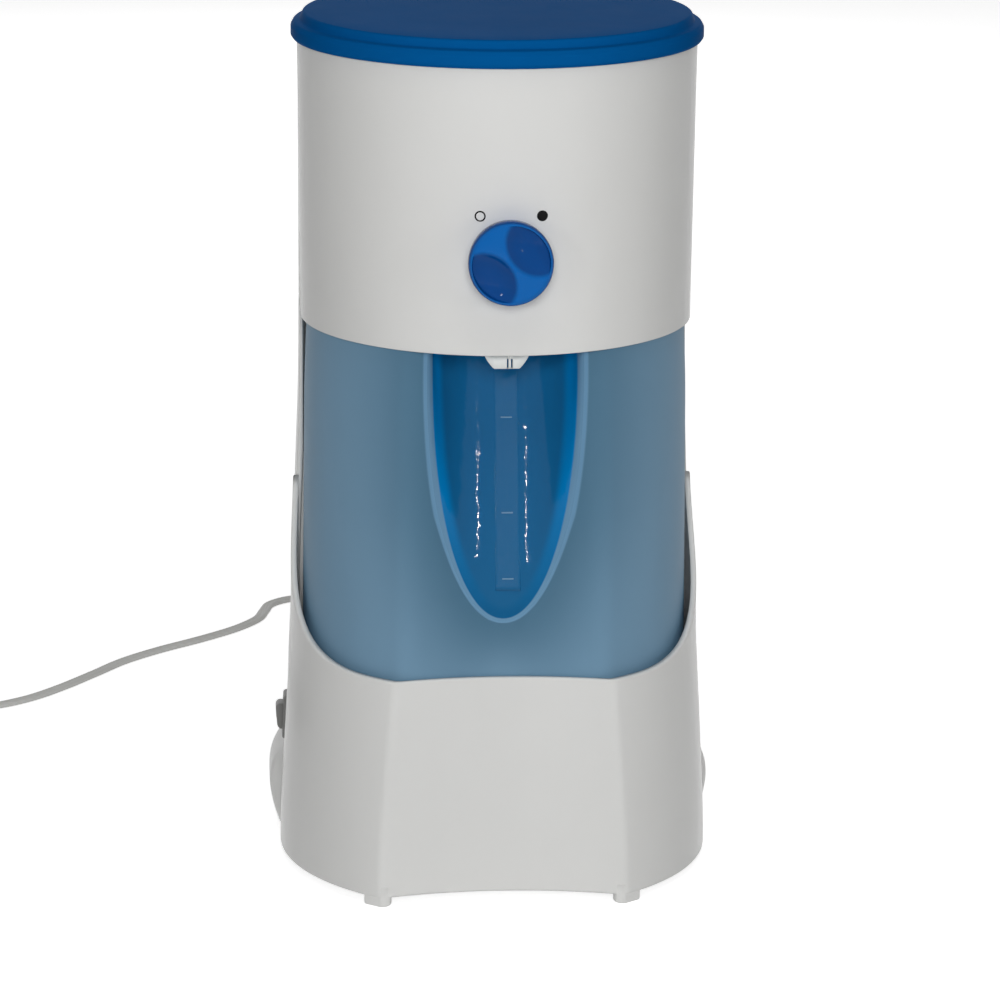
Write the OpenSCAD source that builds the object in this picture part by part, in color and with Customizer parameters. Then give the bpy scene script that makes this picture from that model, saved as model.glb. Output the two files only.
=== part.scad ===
// Iced tea maker: a tea drum with a hinged lid stands on a pitcher, and the
// pitcher stands in a heated base with a rear tower. Millimetres, +Z up,
// front towards -Y, table at Z = 0.

/* [Base] */
// Flare of the base from its front rim to its foot
base_flare = 5.6; // [3:0.2:8]
// Step of the front rim outside the pitcher's well
rim_lip = 1.9; // [1.4:0.1:3]
// Height of the front rim above the table
rim_z = 105.5; // [98:0.5:112]
// Height of the feet
foot_h = 6; // [4:0.5:8]
// Radius of a foot
foot_r = 6.2; // [4:0.2:7]
// Wall of the base mouldings
base_wall = 2.6; // [2:0.1:3]
// Swell of the rear housing low down, beyond the front rim
bulge = 10.2; // [8:0.2:12]
// Distance from the pitcher's axis to the centre of the tower's round back
tower_shift = 46; // [44:1:56]
// Height of the tower
tower_z = 255; // [250:1:275]
// Radius of the sweep from the front rim up to the tower's edge
sweep_r = 90; // [70:1:100]
// Distance of the tower's front edge behind the pitcher's axis
tower_edge_y = 18; // [14:1:24]

/* [Front facet] */
// Radius of the hollow facet across the front
facet_r = 200; // [160:5:260]
// Depth of the facet behind the round of the front rim
facet_depth = 18.9; // [14:0.1:21]

/* [Pitcher] */
// Outer radius of the pitcher at its foot
pitcher_r = 88.3; // [80:0.1:96]
// Taper of the pitcher from its foot to its rim
pitcher_draft = 2.9; // [2.7:0.1:4.3]
// Wall of the pitcher
pitcher_wall = 2.2; // [1.8:0.1:3]
// Depth of the pitcher's foot below the front rim of the base
pitcher_sink = 11.5; // [9:0.5:14]
// Radius of the polished grip recess in the front
recess_r = 32; // [28:0.5:34]
// Tilt of the grip recess
recess_tilt = 15.5; // [14:0.5:17]
// Width of the level rib in the recess
level_w = 10; // [6:0.5:14]
// Width of the pitcher's handle
handle_w = 22; // [16:1:26]
// Thickness of the pitcher's handle
handle_t = 10; // [8:0.5:12]
// Finger space between the pitcher and its handle
handle_gap = 20; // [18:1:22]

/* [Drum] */
// Flare of the drum from its foot to its lid
drum_flare = 1.2; // [1:0.1:2.3]
// Height of the drum from its foot to the lid
drum_h = 126.3; // [122:0.5:140]
// Wall of the drum
drum_wall = 2.4; // [2:0.1:2.6]
// Depth of the skirt that the drum drops over the pitcher's rim
skirt_h = 7; // [5:0.5:9]
// Radius of the spout under the drum
nozzle_r = 9.3; // [8.5:0.1:12]
// Reach of the spout below the drum's floor
nozzle_h = 33; // [30:0.5:38]
// Depth of the tea basket
basket_h = 38; // [30:1:38]

/* [Lid] */
// Overhang of the lid beyond the drum
lid_overhang = 2.7; // [1.8:0.1:5]
// Height of the lid's rim
lid_rim_h = 8; // [7:0.5:10]
// Rise of the lid's inner disc above its rim
lid_rise = 4; // [2:0.5:6]
// Wall of the lid
lid_wall = 2.2; // [1.8:0.1:2.8]
// Radius of the hinge pin
pin_r = 1.6; // [1.2:0.1:2]
// Radius of the hinge knuckles
knuckle_r = 4; // [3.6:0.1:4.6]

/* [Knob] */
// Radius of the brew strength knob
knob_r = 19.4; // [17:0.2:23]
// Reach of the knob in front of the drum
knob_h = 17; // [13:0.5:22]
// Height of the knob's axis above the drum's foot
knob_up = 44; // [43:0.5:46]
// Radius of the knob's shaft
shaft_r = 3; // [2.5:0.1:3.4]
// Number of teeth on the pinion
pinion_teeth = 10; // [9:1:11]

/* [Switch] */
// Height of the switch's rocker
rocker_h = 15.5; // [14:0.5:18]
// Width of the switch's rocker
rocker_w = 9.4; // [8:0.2:12]

/* [Water path] */
// Outer radius of the aluminium heating tube
heat_r = 7; // [6:0.5:8]
// Outer radius of the riser tube
riser_r = 5; // [4:0.1:5.4]
// Wall of the tank
tank_wall = 1.8; // [1.4:0.1:2.2]
// Height of the riser's nipple above the tower
nipple_h = 12; // [9:1:14]

/* [Cord] */
// Width of the flat two-core cord
cord_w = 6; // [5:0.5:7]

/* [Hidden] */

$fn = 96;
far = 400;
run = 0.05;
gap = 0.3;
side_gap = 0.6;

// Radii that follow the pitcher
drum_r = pitcher_r + 0.2;
drum_top_r = drum_r + drum_flare;
lid_r = drum_top_r + lid_overhang;
tower_r = drum_r + 0.1;
pitcher_rim_r = pitcher_r - pitcher_draft;
rim_r = pitcher_r + side_gap + base_wall + rim_lip;
base_r = rim_r + base_flare;
bulge_r = rim_r + bulge;
facet_y = rim_r - facet_depth;

// Heights and places worked out from the driving sizes
pitcher_z = rim_z - pitcher_sink;
drum_z = tower_z + 1.2;
drum_top = drum_z + drum_h;
plate_z = drum_z + skirt_h;
plate_t = 2.4;
plate_top = plate_z + plate_t;
knob_z = drum_z + knob_up;
drum_r_at_knob = drum_r + (drum_top_r - drum_r) * knob_up / drum_h;
knob_back = drum_r_at_knob + 0.5;
front_reach = max(knob_back + knob_h, lid_r);
back_reach = tower_shift + bulge_r;
axis_y = (front_reach - back_reach) / 2;
well_r = pitcher_r + side_gap;
well_wall = 2.2;
well_t = 2.4;
seam_y = 16;
hinge_y = lid_r + knuckle_r + 0.6;
hinge_z = drum_top + knuckle_r + 0.4;
basket_z = knob_z + 11;
arm_z = basket_z + basket_h + 9;

// Handle and the channel of the tower that it stands in
handle_y = pitcher_r - 0.6 + handle_gap + handle_t;
handle_low = pitcher_z + 20;
handle_top = tower_z - 17;
channel_w = handle_w + 6;
channel_y = handle_y + 2.5;
channel_low = handle_low - 4;

// Water path
riser_x = -28;
riser_y = pitcher_r + 11.7;
floor_z = foot_h + 2;
floor_top = floor_z + 2.4;
tank_low = floor_top + 31;
heat_z = floor_top + 14;
heat_gauge = 28;
heat_front = 44.5 - facet_y;
heat_back = 22;

// Pitcher, drum and valve
pitcher_top = plate_z;
pitcher_facet_y = facet_y - base_wall - side_gap;
recess_top_z = drum_z - 5;
basket_r = drum_r - 9.5;
lip_r = drum_top_r - drum_wall - 0.8;
dock_slope = 0.5;
dock_cover_t = 2;
stem_r = 2.5;
tooth_pitch = PI;
pinion_r = pinion_teeth * tooth_pitch / (2 * PI);
knob_rest = 128;
knob_turn = 66;
valve_travel = pinion_r * knob_turn * PI / 180;
seat_z = plate_z - nozzle_h + 12;
clip_y = drum_r_at_knob - drum_wall - 1.5;
arm_len = norm([riser_x, riser_y]);

// Feet and screws, from the pitcher's axis
foot_x = 0.57 * base_r;
foot_y = facet_y + 3;
rear_foot_y = tower_shift + 44;
screw_spots = [
    [37 - base_r, -40], [base_r - 37, -40], [23.6 - bulge_r, 60], [bulge_r - 23.6, 60],
    [0, tower_shift + bulge_r - 21.6]
];
screw_len = 11;
vent_l = 22;

// Level rib, hinge ears and valve arm
rib_low = pitcher_z + 48;
rib_high = drum_z - 6.2;
ear_x = 19.5;
ear_w = 8;
hinge_pin_l = 2 * ear_x + ear_w + 1;
rack_y = 23;
rack_drop = 13;

// Parts along the water path
bend_r = 10;
hose_wall = 1.6;
pipe_bore = riser_r + run;
hose_r = pipe_bore + hose_wall;
valve_y = 40;
valve_len = 14;
ball_r = 3.2;
spigot_x = heat_gauge;
spigot_y = 74;
element_r = 3;
element_z = heat_z - heat_r - element_r - 0.1;

// Switch
switch_x = rim_r + 0.7;
switch_tilt = 2.5;
switch_y = 31;
switch_z = 56;
rocker_pin_r = 1.5;

// Cord: a flat lead on the table behind the tea maker, from points by hand
cord_t = 3.2;
relief_r = 4.6;
relief_len = 28;
cord_exit_x = 0;
cord_exit_z = 20;
cord_wall_y = tower_shift + bulge_r + 0.05;
cord_route = [
    [0, 156, 20], [0, 166, 19.2], [-1, 180, 14.5], [-3, 196, 7.5], [-7, 214, 2.6], [-13, 238, 1.7],
    [-22, 268, 1.7], [-32, 302, 1.7], [-41, 334, 1.7], [-46.6, 351, 1.7], [-48, 366, 1.7],
    [-51.6, 379.5, 1.7], [-61.5, 389.4, 1.7], [-75, 393, 1.7], [-88.5, 389.4, 1.7],
    [-98.4, 379.5, 1.7], [-102, 366, 1.7], [-106, 351, 1.7], [-118, 333, 1.7], [-137, 314, 1.7],
    [-159, 295, 1.7], [-178, 275, 1.7], [-193, 253, 1.7], [-210, 228, 1.7], [-226, 208, 1.7],
    [-242, 196, 1.7], [-260, 191, 1.7], [-286, 191, 1.7]
];
coil_r = 33;
coil_w = 13;
coil_h = 6.6;
coil_x = -286;
coil_y = 158;
cord_tail = [[-322.3, 158, 5], [-321.6, 146, 5.8], [-320, 132, 7]];
plug_turn = -90;
plug_t = 14;

// Moves a piece from the pitcher's axis to the shared origin
module at_axis() {
    translate([0, axis_y, 0]) children();
}

// A solid of revolution from [radius, height] points
module spun(p) {
    rotate_extrude() polygon(concat([[0, p[0][1]]], p, [[0, p[len(p) - 1][1]]]));
}

// Rear form: a straight stretch of the section from y0 to the tower's
// centre, closed by half a revolution of the same section
module rear_form(p, y0) {
    last = len(p) - 1;
    mirrored = [for (i = [last : -1 : 0]) [-p[i][0], p[i][1]]];
    translate([0, tower_shift, 0]) rotate([90, 0, 0])
        linear_extrude(tower_shift - y0) polygon(concat(p, mirrored));
    translate([0, tower_shift, 0]) rotate_extrude(angle = 180)
        polygon(concat([[0, p[0][1]]], p, [[0, p[last][1]]]));
}

// Section of the rear housing, a wall t inside its outer face
function rear_section(t, low, top) = concat(
    [[bulge_r - 4.2 - t, low]],
    [for (p = [
        [bulge_r - 1.5, foot_h + 8], [bulge_r, foot_h + 20], [bulge_r - 1.2, foot_h + 28],
        [bulge_r - 3.8, foot_h + 33], [rim_r + 3.8, foot_h + 37], [rim_r + 2.6, foot_h + 40],
        [rim_r + 2, foot_h + 44], [rim_r + 1.6, foot_h + 50], [rim_r + 1.2, foot_h + 60],
        [rim_r + 0.8, foot_h + 74], [rim_r - 0.1, rim_z - 4], [rim_r - 1, rim_z + 16], [rim_r - 1.8, rim_z + 42],
        [rim_r - 3.2, rim_z + 78], [tower_r + 0.5, rim_z + 108]
    ]) [p[0] - t, p[1]]],
    [[tower_r - t, top]]
);

// Section of the front shell, a wall t inside its outer face
function front_section(t, low, top) = [
    for (u = [0 : 0.2 : 1])
        [rim_r + (base_r - rim_r) * pow(1 - u, 1.4) - t, low + u * (top - low)]
];

// Everything in front of the hollow facet whose middle lies y in front of the axis
module facet_cut(y) {
    translate([0, -y - facet_r, -far / 2]) cylinder(r = facet_r, h = 2 * far, $fn = 240);
}

// Space above the front rim: it sweeps up round an arc to the tower's edge
module sweep_cut(lift) {
    rise = lift + rim_z;
    rotate([90, 0, 90]) linear_extrude(2 * far, center = true) union() {
        translate([-far, rise]) square([far + tower_edge_y - sweep_r, far]);
        translate([tower_edge_y - sweep_r, rise + sweep_r]) circle(sweep_r, $fn = 180);
        translate([-far, rise + sweep_r]) square([far + tower_edge_y, far]);
    }
}

// Space that the pitcher sweeps when it is lifted straight up
module pitcher_space(low) {
    translate([0, 0, low]) cylinder(r = well_r, h = far);
}

// Front cover: a round shell with a hollow facet, a swept rim and two feet
module front_shell() {
    low = foot_h - 2;
    color("whitesmoke") at_axis() difference() {
        union() {
            difference() {
                spun(front_section(0, low, rim_z + sweep_r));
                facet_cut(facet_y);
            }
            intersection() {
                for (side = [-1, 1])
                    translate([side * foot_x, -foot_y, 0]) cylinder(r = foot_r, h = foot_h + 4);
                difference() {
                    translate([0, 0, -1]) cylinder(r = base_r - 0.4, h = far);
                    facet_cut(facet_y - 0.3);
                }
            }
        }
        difference() {
            spun(front_section(base_wall, foot_h + 1.5, rim_z - 4));
            facet_cut(facet_y - base_wall);
        }
        difference() {
            translate([0, 0, low - 1]) cylinder(r = base_r - base_wall, h = 5);
            facet_cut(facet_y - base_wall);
            for (side = [-1, 1])
                translate([side * foot_x, -foot_y, -1]) cylinder(r = foot_r, h = far);
        }
        difference() {
            pitcher_space(rim_z - 5);
            facet_cut(facet_y - base_wall);
        }
        sweep_cut(0);
        translate([-far, seam_y, -far]) cube(2 * far);
    }
}

// Rear cover and outer wall of the tower; its bulge ends in a wall at the seam
module rear_housing() {
    color("white") at_axis() difference() {
        rear_form(rear_section(0, foot_h - 1, tower_z - well_t), seam_y + 0.1);
        rear_form(rear_section(base_wall, foot_h - 2, tower_z), seam_y + base_wall + 0.1);
        intersection() {
            rear_form(rear_section(base_wall, foot_h - 2, tower_z), seam_y - 4);
            union() {
                spun(front_section(base_wall, foot_h - 3, rim_z + sweep_r));
                translate([0, 0, rim_z - 20]) cylinder(r = far, h = far);
            }
        }
        pitcher_space(pitcher_z - well_t - 1);
        sweep_cut(0);
        at_switch() cube([40, rocker_w + 4, rocker_h + 4], center = true);
        at_switch() translate([-20.95, 0, 0]) cube([40, rocker_w + 6.4, rocker_h + 6.4], center = true);
        translate([cord_exit_x, back_reach - 20, cord_exit_z])
            rotate([-90, 0, 0]) cylinder(r = relief_r + 0.2, h = 40);
    }
}

// Inner space of the rear form, a further clearance c inside its wall
module rear_inside(c, low, top, y0) {
    rear_form(rear_section(base_wall + c, low, top), y0);
}

// Outline of the handle's channel, a wall t outside its faces
module channel_box(t, low) {
    translate([-channel_w / 2 - t, 0, low - t]) cube([channel_w + 2 * t, channel_y + t, far]);
}

// Well: the floor that the pitcher stands on, the curved wall behind it and
// the channel that takes the handle
module pitcher_well() {
    color("white") at_axis() {
        difference() {
            union() {
                difference() {
                    translate([0, 0, pitcher_z - well_t]) cylinder(r = well_r + 0.6, h = well_t);
                    facet_cut(facet_y - base_wall - gap);
                }
                intersection() {
                    union() {
                        translate([0, 0, pitcher_z - well_t])
                            cylinder(r = well_r + well_wall, h = tower_z - well_t - pitcher_z + well_t);
                        intersection() {
                            channel_box(well_wall, channel_low);
                            cylinder(r = far, h = tower_z - well_t);
                        }
                    }
                    rear_inside(gap, pitcher_z - well_t, tower_z, seam_y + 2);
                }
            }
            pitcher_space(pitcher_z);
            channel_box(0, channel_low);
            sweep_cut(0);
        }
    }
}

// Cap that closes the tower round the tank's mouth and the riser
module tower_cap() {
    color("white") at_axis() difference() {
        rear_form([[tower_r, tower_z - well_t], [tower_r, tower_z - 0.8], [tower_r - 0.8, tower_z]], tower_edge_y);
        pitcher_space(0);
        channel_box(0, 0);
        tank_mouth(0);
        translate([riser_x, riser_y, 0]) cylinder(r = riser_r + run, h = far);
    }
}

// Mouth of the tank: a curved slot behind the handle's channel
module tank_mouth(t) {
    intersection() {
        difference() {
            rear_form(rear_section(base_wall + 4 - t, tank_low, tower_z + 1), tower_shift - 1);
            channel_box(well_wall + 2.5 - t, 0);
            translate([0, 0, -1]) cylinder(r = well_r + well_wall + 4 - t, h = far);
            translate([riser_x, riser_y, 0]) cylinder(r = riser_r + 7 - t, h = far);
        }
        translate([riser_x + riser_r + 8 - t, 0, tower_z - 30]) cube([far, far, far]);
    }
}

// Floor plate with vents, a skirt, the two rear feet and the screw bosses
module bottom_cover() {
    color("gainsboro") at_axis() difference() {
        union() {
            translate([0, 0, floor_z]) intersection() {
                difference() {
                    cylinder(r = base_r - base_wall - 0.8, h = 2.4);
                    facet_cut(facet_y - base_wall - gap);
                }
                translate([-far, -far, -1]) cube([2 * far, far + seam_y + base_wall + 2, far]);
            }
            rear_form([[bulge_r - base_wall - 4, floor_z], [bulge_r - base_wall - 4, floor_z + 2.4]], seam_y + base_wall + 0.5);
            for (side = [-1, 1])
                translate([side * foot_x, rear_foot_y, 0]) cylinder(r = foot_r, h = floor_z + 1);
        }
        for (x = [-30 : 12 : 30]) for (y = [-40, 52])
            translate([x - 2, y - vent_l / 2, 0]) cube([4, vent_l, far]);
        for (p = screw_spots)
            translate([p[0], p[1], 0]) cylinder(r = 1.7, h = far);
    }
}

// Screws that hold the floor plate
module bottom_screws() {
    color("silver") at_axis() for (p = screw_spots) translate([p[0], p[1], floor_z - 2]) difference() {
        union() {
            cylinder(r = 3.2, h = 2);
            cylinder(r = 1.65, h = screw_len);
        }
        for (a = [0, 90]) rotate([0, 0, a]) translate([-2, -0.4, -1]) cube([4, 0.8, 2.2]);
    }
}

// Outer form of the tank, t inside its faces
module tank_form(t) {
    inner_r = well_r + well_wall + gap + 0.4 + t;
    difference() {
        union() {
            rear_form([
                [bulge_r - base_wall - 13 - t, tank_low + t],
                [bulge_r - base_wall - 13 - t, pitcher_z - well_t - gap - t]
            ], 42 + t);
            difference() {
                rear_form([
                    [rim_r - base_wall - 3 - t, pitcher_z - well_t - gap - t - 1],
                    [tower_r - base_wall - 1.2 - t, tower_z - 50],
                    [tower_r - base_wall - 1.2 - t, tower_z - well_t + (t > 0 ? 1 : 0)]
                ], 40 + t);
                cylinder(r = inner_r, h = far);
                channel_box(well_wall + gap + t, channel_low);
            }
        }
        translate([riser_x, riser_y, 0]) cylinder(r = riser_r + 2.4 + t, h = far);
    }
}

// Cold water tank: wide under the well and a crescent up the tower, with a
// chimney for the riser and a spigot below
module reservoir_tank() {
    color("aliceblue") at_axis() {
        difference() {
            tank_form(0);
            tank_form(tank_wall);
            translate([spigot_x, spigot_y, 0]) cylinder(r = 3.5, h = tank_low + 5);
            translate([riser_x, riser_y, 0]) cylinder(r = riser_r + 0.6, h = far);
        }
        difference() {
            translate([riser_x, riser_y, tank_low])
                cylinder(r = riser_r + 2.4, h = tower_z - well_t - tank_low);
            translate([riser_x, riser_y, 0]) cylinder(r = riser_r + 0.6, h = far);
        }
        translate([spigot_x, spigot_y, heat_z + bend_r + 0.4]) difference() {
            cylinder(r = riser_r, h = tank_low - heat_z - bend_r - 0.4);
            translate([0, 0, -1]) cylinder(r = 3.5, h = 20);
        }
    }
}

// A straight length of hose along -Y from y1 to y0 at x, z
module pipe_y(x, z, y0, y1, outer, inner) {
    translate([x, y1, z]) rotate([90, 0, 0]) difference() {
        cylinder(r = outer, h = y1 - y0);
        translate([0, 0, -1]) cylinder(r = inner, h = y1 - y0 + 2);
    }
}

// A quarter bend from a run along Y at height z up to a vertical pipe at y
module bend_up(x, y, z, outer, inner) {
    translate([x, y - bend_r, z + bend_r]) rotate([0, 90, 0]) rotate_extrude(angle = 90)
        translate([bend_r, 0]) difference() {
            circle(outer);
            circle(inner);
        }
}

// Hose that joins a horizontal stub to a vertical one
module stub_to_riser(x, y0, y1, z_top) {
    pipe_y(x, heat_z, y0, y1 - bend_r, hose_r, pipe_bore);
    bend_up(x, y1, heat_z, hose_r, pipe_bore);
    translate([x, y1, heat_z + bend_r]) difference() {
        cylinder(r = hose_r, h = z_top - heat_z - bend_r);
        translate([0, 0, -1]) cylinder(r = pipe_bore, h = far);
    }
}

// Cold hose: a sleeve from heater to check valve, and a bend up to the tank
module cold_hose() {
    color("white") at_axis() {
        pipe_y(spigot_x, heat_z, heat_back + gap, valve_y - gap, hose_r, pipe_bore);
        stub_to_riser(spigot_x, valve_y + valve_len + gap, spigot_y, tank_low - gap);
    }
}

// Hot hose from the heater back to the foot of the riser
module hot_hose() {
    color("white") at_axis()
        stub_to_riser(riser_x, heat_back + gap, riser_y, tank_low - gap);
}

// Check valve between tank and heater, with its ball cage
module check_valve_body() {
    color("ivory") at_axis() translate([spigot_x, valve_y + valve_len + 7, heat_z]) rotate([90, 0, 0])
        difference() {
            union() {
                cylinder(r = riser_r, h = valve_len + 14);
                translate([0, 0, 7]) cylinder(r = hose_r + 1, h = valve_len);
            }
            translate([0, 0, -1]) cylinder(r = ball_r - 1, h = valve_len + 16);
            translate([0, 0, 10]) cylinder(r = ball_r + 0.3, h = valve_len - 6);
        }
}

// Ball of the check valve
module check_ball() {
    color("dimgray") at_axis() translate([spigot_x, valve_y + valve_len / 2 + 1, heat_z]) sphere(ball_r);
}

// A U of round bar: two legs along Y joined by a half turn at the front
module u_bar(r, z, back) {
    for (side = [-1, 1])
        translate([side * heat_gauge, back, z]) rotate([90, 0, 0]) cylinder(r = r, h = back - heat_front);
    translate([0, heat_front, z]) rotate([0, 0, 180]) rotate_extrude(angle = 180)
        translate([heat_gauge, 0]) circle(r);
}

// Aluminium heating tube: a U with a stub at each end
module heating_tube() {
    color("silver") at_axis() difference() {
        union() {
            u_bar(heat_r, heat_z, heat_back);
            for (side = [-1, 1])
                translate([side * heat_gauge, heat_back + 10, heat_z]) rotate([90, 0, 0])
                    cylinder(r = riser_r, h = 10.5);
        }
        u_bar(heat_r - 2.6, heat_z, heat_back + 12);
    }
}

// Heating element: a thin sheath under the tube, with a terminal at each end
module heating_element() {
    color("dimgray") at_axis() {
        u_bar(element_r, element_z, heat_back - 2);
        for (side = [-1, 1])
            translate([side * heat_gauge, heat_back + 6, element_z]) rotate([90, 0, 0])
                cylinder(r = 1.2, h = 8.5);
    }
}

// Saddles that carry the heater on the floor plate
module heater_clamps() {
    color("silver") at_axis() for (side = [-1, 1]) difference() {
        translate([side * heat_gauge - 11, -12, floor_top]) cube([22, 8, heat_z + heat_r + 2 - floor_top]);
        translate([side * heat_gauge, 0, heat_z]) rotate([90, 0, 0]) cylinder(r = heat_r + run, h = 20);
        translate([side * heat_gauge - element_r - run, -20, element_z - element_r - run])
            cube([2 * (element_r + run), 20, heat_z - element_z]);
    }
}

// Thermostat on the bend of the heating tube
module thermostat() {
    color("gainsboro") at_axis() translate([0, heat_front - heat_gauge, heat_z + heat_r + 0.1]) {
        cylinder(r = 8, h = 5);
        translate([0, 0, 5]) cylinder(r = 6, h = 4);
        for (side = [-1, 1]) translate([side * 4 - 0.4, -1.6, 9]) cube([0.8, 3.2, 6]);
    }
}

// Thermal fuse along one leg of the heater
module thermal_fuse() {
    color("white") at_axis() translate([-heat_gauge, heat_back - 1, heat_z + heat_r + 2.5])
        rotate([90, 0, 0]) {
            cylinder(r = 2.4, h = 20);
            translate([0, 0, -3]) cylinder(r = 0.6, h = 25);
        }
}

// Riser: the tube that carries hot water up the tower to its nipple
module riser_tube() {
    color("white") at_axis() translate([riser_x, riser_y, heat_z + bend_r + 0.4]) difference() {
        cylinder(r = riser_r, h = tower_z + nipple_h - heat_z - bend_r);
        translate([0, 0, -1]) cylinder(r = riser_r - 1.4, h = far);
    }
}

// Spring clips round the hose ends
module hose_clips() {
    color("silver") at_axis() {
        for (y = [heat_back + 3, valve_y - 6, valve_y + valve_len + 2])
            pipe_y(spigot_x, heat_z, y, y + 3, hose_r + 1, hose_r + run);
        pipe_y(riser_x, heat_z, heat_back + 3, heat_back + 6, hose_r + 1, hose_r + run);
        for (p = [[spigot_x, spigot_y], [riser_x, riser_y]])
            translate([p[0], p[1], heat_z + bend_r + 1.5]) difference() {
                cylinder(r = hose_r + 1, h = 3);
                translate([0, 0, -1]) cylinder(r = hose_r + run, h = 5);
            }
    }
}

// Moves a piece to the middle of the switch, tilted with the wall; -X is outwards
module at_switch() {
    translate([-switch_x, switch_y, switch_z]) rotate([0, switch_tilt, 0]) children();
}

// Frame of the rocker switch, set through the left side
module switch_bezel() {
    color("gray") at_axis() at_switch() {
        difference() {
            union() {
                translate([3.9, 0, 0]) cube([9.8, rocker_w + 3.6, rocker_h + 3.6], center = true);
                translate([-2.1, 0, 0]) cube([2.2, rocker_w + 6, rocker_h + 6], center = true);
            }
            cube([40, rocker_w + 0.8, rocker_h + 0.8], center = true);
        }
        for (side = [-1, 1]) translate([1.5, side * (rocker_w / 2 + 1), 0])
            rotate([side * 90, 0, 0]) cylinder(r = rocker_pin_r, h = 3);
    }
}

// Rocker of the switch, pressed in at its lower half when off
module rocker() {
    color("dimgray") at_axis() at_switch() translate([1.5, 0, 0]) difference() {
        rotate([90, 0, 0]) linear_extrude(rocker_w, center = true) polygon([
            [5, -5], [5, 5], [0, rocker_h / 2 - 1.4], [-7.2, rocker_h / 2 - 1.8],
            [-6, 0], [-5.3, -rocker_h / 2 + 1.8], [0, -rocker_h / 2 + 1.4]
        ]);
        rotate([90, 0, 0]) cylinder(r = rocker_pin_r + run, h = far, center = true);
    }
}

// Body of the switch behind its frame, with three terminals
module switch_body() {
    color("black") at_axis() at_switch() translate([8.9, 0, 0]) {
        difference() {
            translate([7, 0, 0]) cube([14, rocker_w + 1.2, rocker_h], center = true);
            cube([5, rocker_w - 1.6, rocker_h - 3], center = true);
        }
        for (z = [-5, 0, 5]) translate([17, 0, z]) cube([6, 4.8, 0.8], center = true);
    }
}

// Strain relief: a collar through the wall and a taper round the cord
module strain_relief() {
    color("white") at_axis() translate([cord_exit_x, cord_wall_y, cord_exit_z]) rotate([-90, 0, 0]) {
        translate([0, 0, -7.2]) cylinder(r = relief_r, h = 7.6);
        translate([0, 0, -7.2]) cylinder(r = relief_r + 2, h = 2.4);
        cylinder(r = relief_r + 1.4, h = 2.4);
        translate([0, 0, 2.4]) cylinder(r1 = relief_r, r2 = 3.8, h = relief_len - 2.4);
    }
}

// Unit vector along a list of points at index i
function along(p, i) =
    let (a = p[max(i - 1, 0)], b = p[min(i + 1, len(p) - 1)], d = b - a) d / norm(d);

// Point at u between p1 and p2 on a smooth curve through p0 to p3
function through(p0, p1, p2, p3, u) =
    0.5 * (2 * p1 + (p2 - p0) * u + (2 * p0 - 5 * p1 + 4 * p2 - p3) * u * u
        + (3 * p1 - p0 - 3 * p2 + p3) * u * u * u);

// The route's points with n steps between each pair
function smooth(p, n) = concat([
    for (i = [0 : len(p) - 2], k = [0 : n - 1])
        through(p[max(i - 1, 0)], p[i], p[i + 1], p[min(i + 2, len(p) - 1)], k / n)
], [p[len(p) - 1]]);

// A flat cord swept along points, w wide and t thick, with eight sides
module swept_cord(p, w, t) {
    sides = 8;
    points = [
        for (i = [0 : len(p) - 1])
            let (d = along(p, i), s = cross(d, [0, 0, 1]) / norm(cross(d, [0, 0, 1])), up = cross(s, d))
            for (k = [0 : sides - 1])
                p[i] + s * w / 2 * cos(k * 45 + 22.5) / cos(22.5) + up * t / 2 * sin(k * 45 + 22.5) / sin(67.5)
    ];
    ring = [for (k = [sides - 1 : -1 : 0]) k];
    last = (len(p) - 1) * sides;
    walls = [
        for (i = [0 : len(p) - 2], k = [0 : sides - 1])
            let (a = i * sides + k, b = i * sides + (k + 1) % sides) [a, b, b + sides, a + sides]
    ];
    polyhedron(points, concat([ring], walls, [[for (k = [0 : sides - 1]) last + k]]));
}

// Cord from its strain relief to the coil, and its tail to the plug
module cord() {
    color("white") {
        swept_cord(smooth(cord_route, 4), cord_w, cord_t);
        swept_cord(smooth(cord_tail, 3), cord_w, cord_t);
    }
}

// Outer shape of the coil
module cord_coil() {
    color("white") translate([coil_x, coil_y, 0]) rotate_extrude()
        translate([coil_r - coil_w / 2, 0.1]) square([coil_w, coil_h]);
}

// Tie round the coil
module cord_tie() {
    color("dimgray") translate([coil_x, coil_y, 0]) rotate([0, 0, 30]) rotate_extrude(angle = 9)
        translate([coil_r, 0]) difference() {
            translate([-coil_w / 2 - 1, 0]) square([coil_w + 2, coil_h + 1.1]);
            translate([-coil_w / 2 - 0.05, -1]) square([coil_w + 0.1, coil_h + 1.2]);
        }
}

// Moves a piece to the end of the tail, with the plug lying on the table
module at_plug() {
    end = cord_tail[len(cord_tail) - 1];
    translate([end[0], end[1], plug_t / 2]) rotate([0, 0, plug_turn]) children();
}

// Two-pin plug at the end of the tail
module plug_body() {
    color("white") at_plug() rotate([0, 90, 0]) {
        cylinder(r1 = 3.2, r2 = 5.5, h = 14);
        translate([0, 0, 14]) linear_extrude(18) square([plug_t, 22], center = true);
    }
}

// Blades of the plug
module plug_blades() {
    color("silver") at_plug() for (side = [-1, 1])
        translate([32, side * 6.35 - 0.75, -3.2]) cube([16, 1.5, 6.4]);
}

// Half-pipe recess down the pitcher's front, a wall t outside its face
module recess_cut(t) {
    translate([0, -pitcher_facet_y, recess_top_z]) rotate([-recess_tilt, 0, 0])
        translate([0, 0, -far]) cylinder(r = recess_r + t, h = 2 * far);
}

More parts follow.
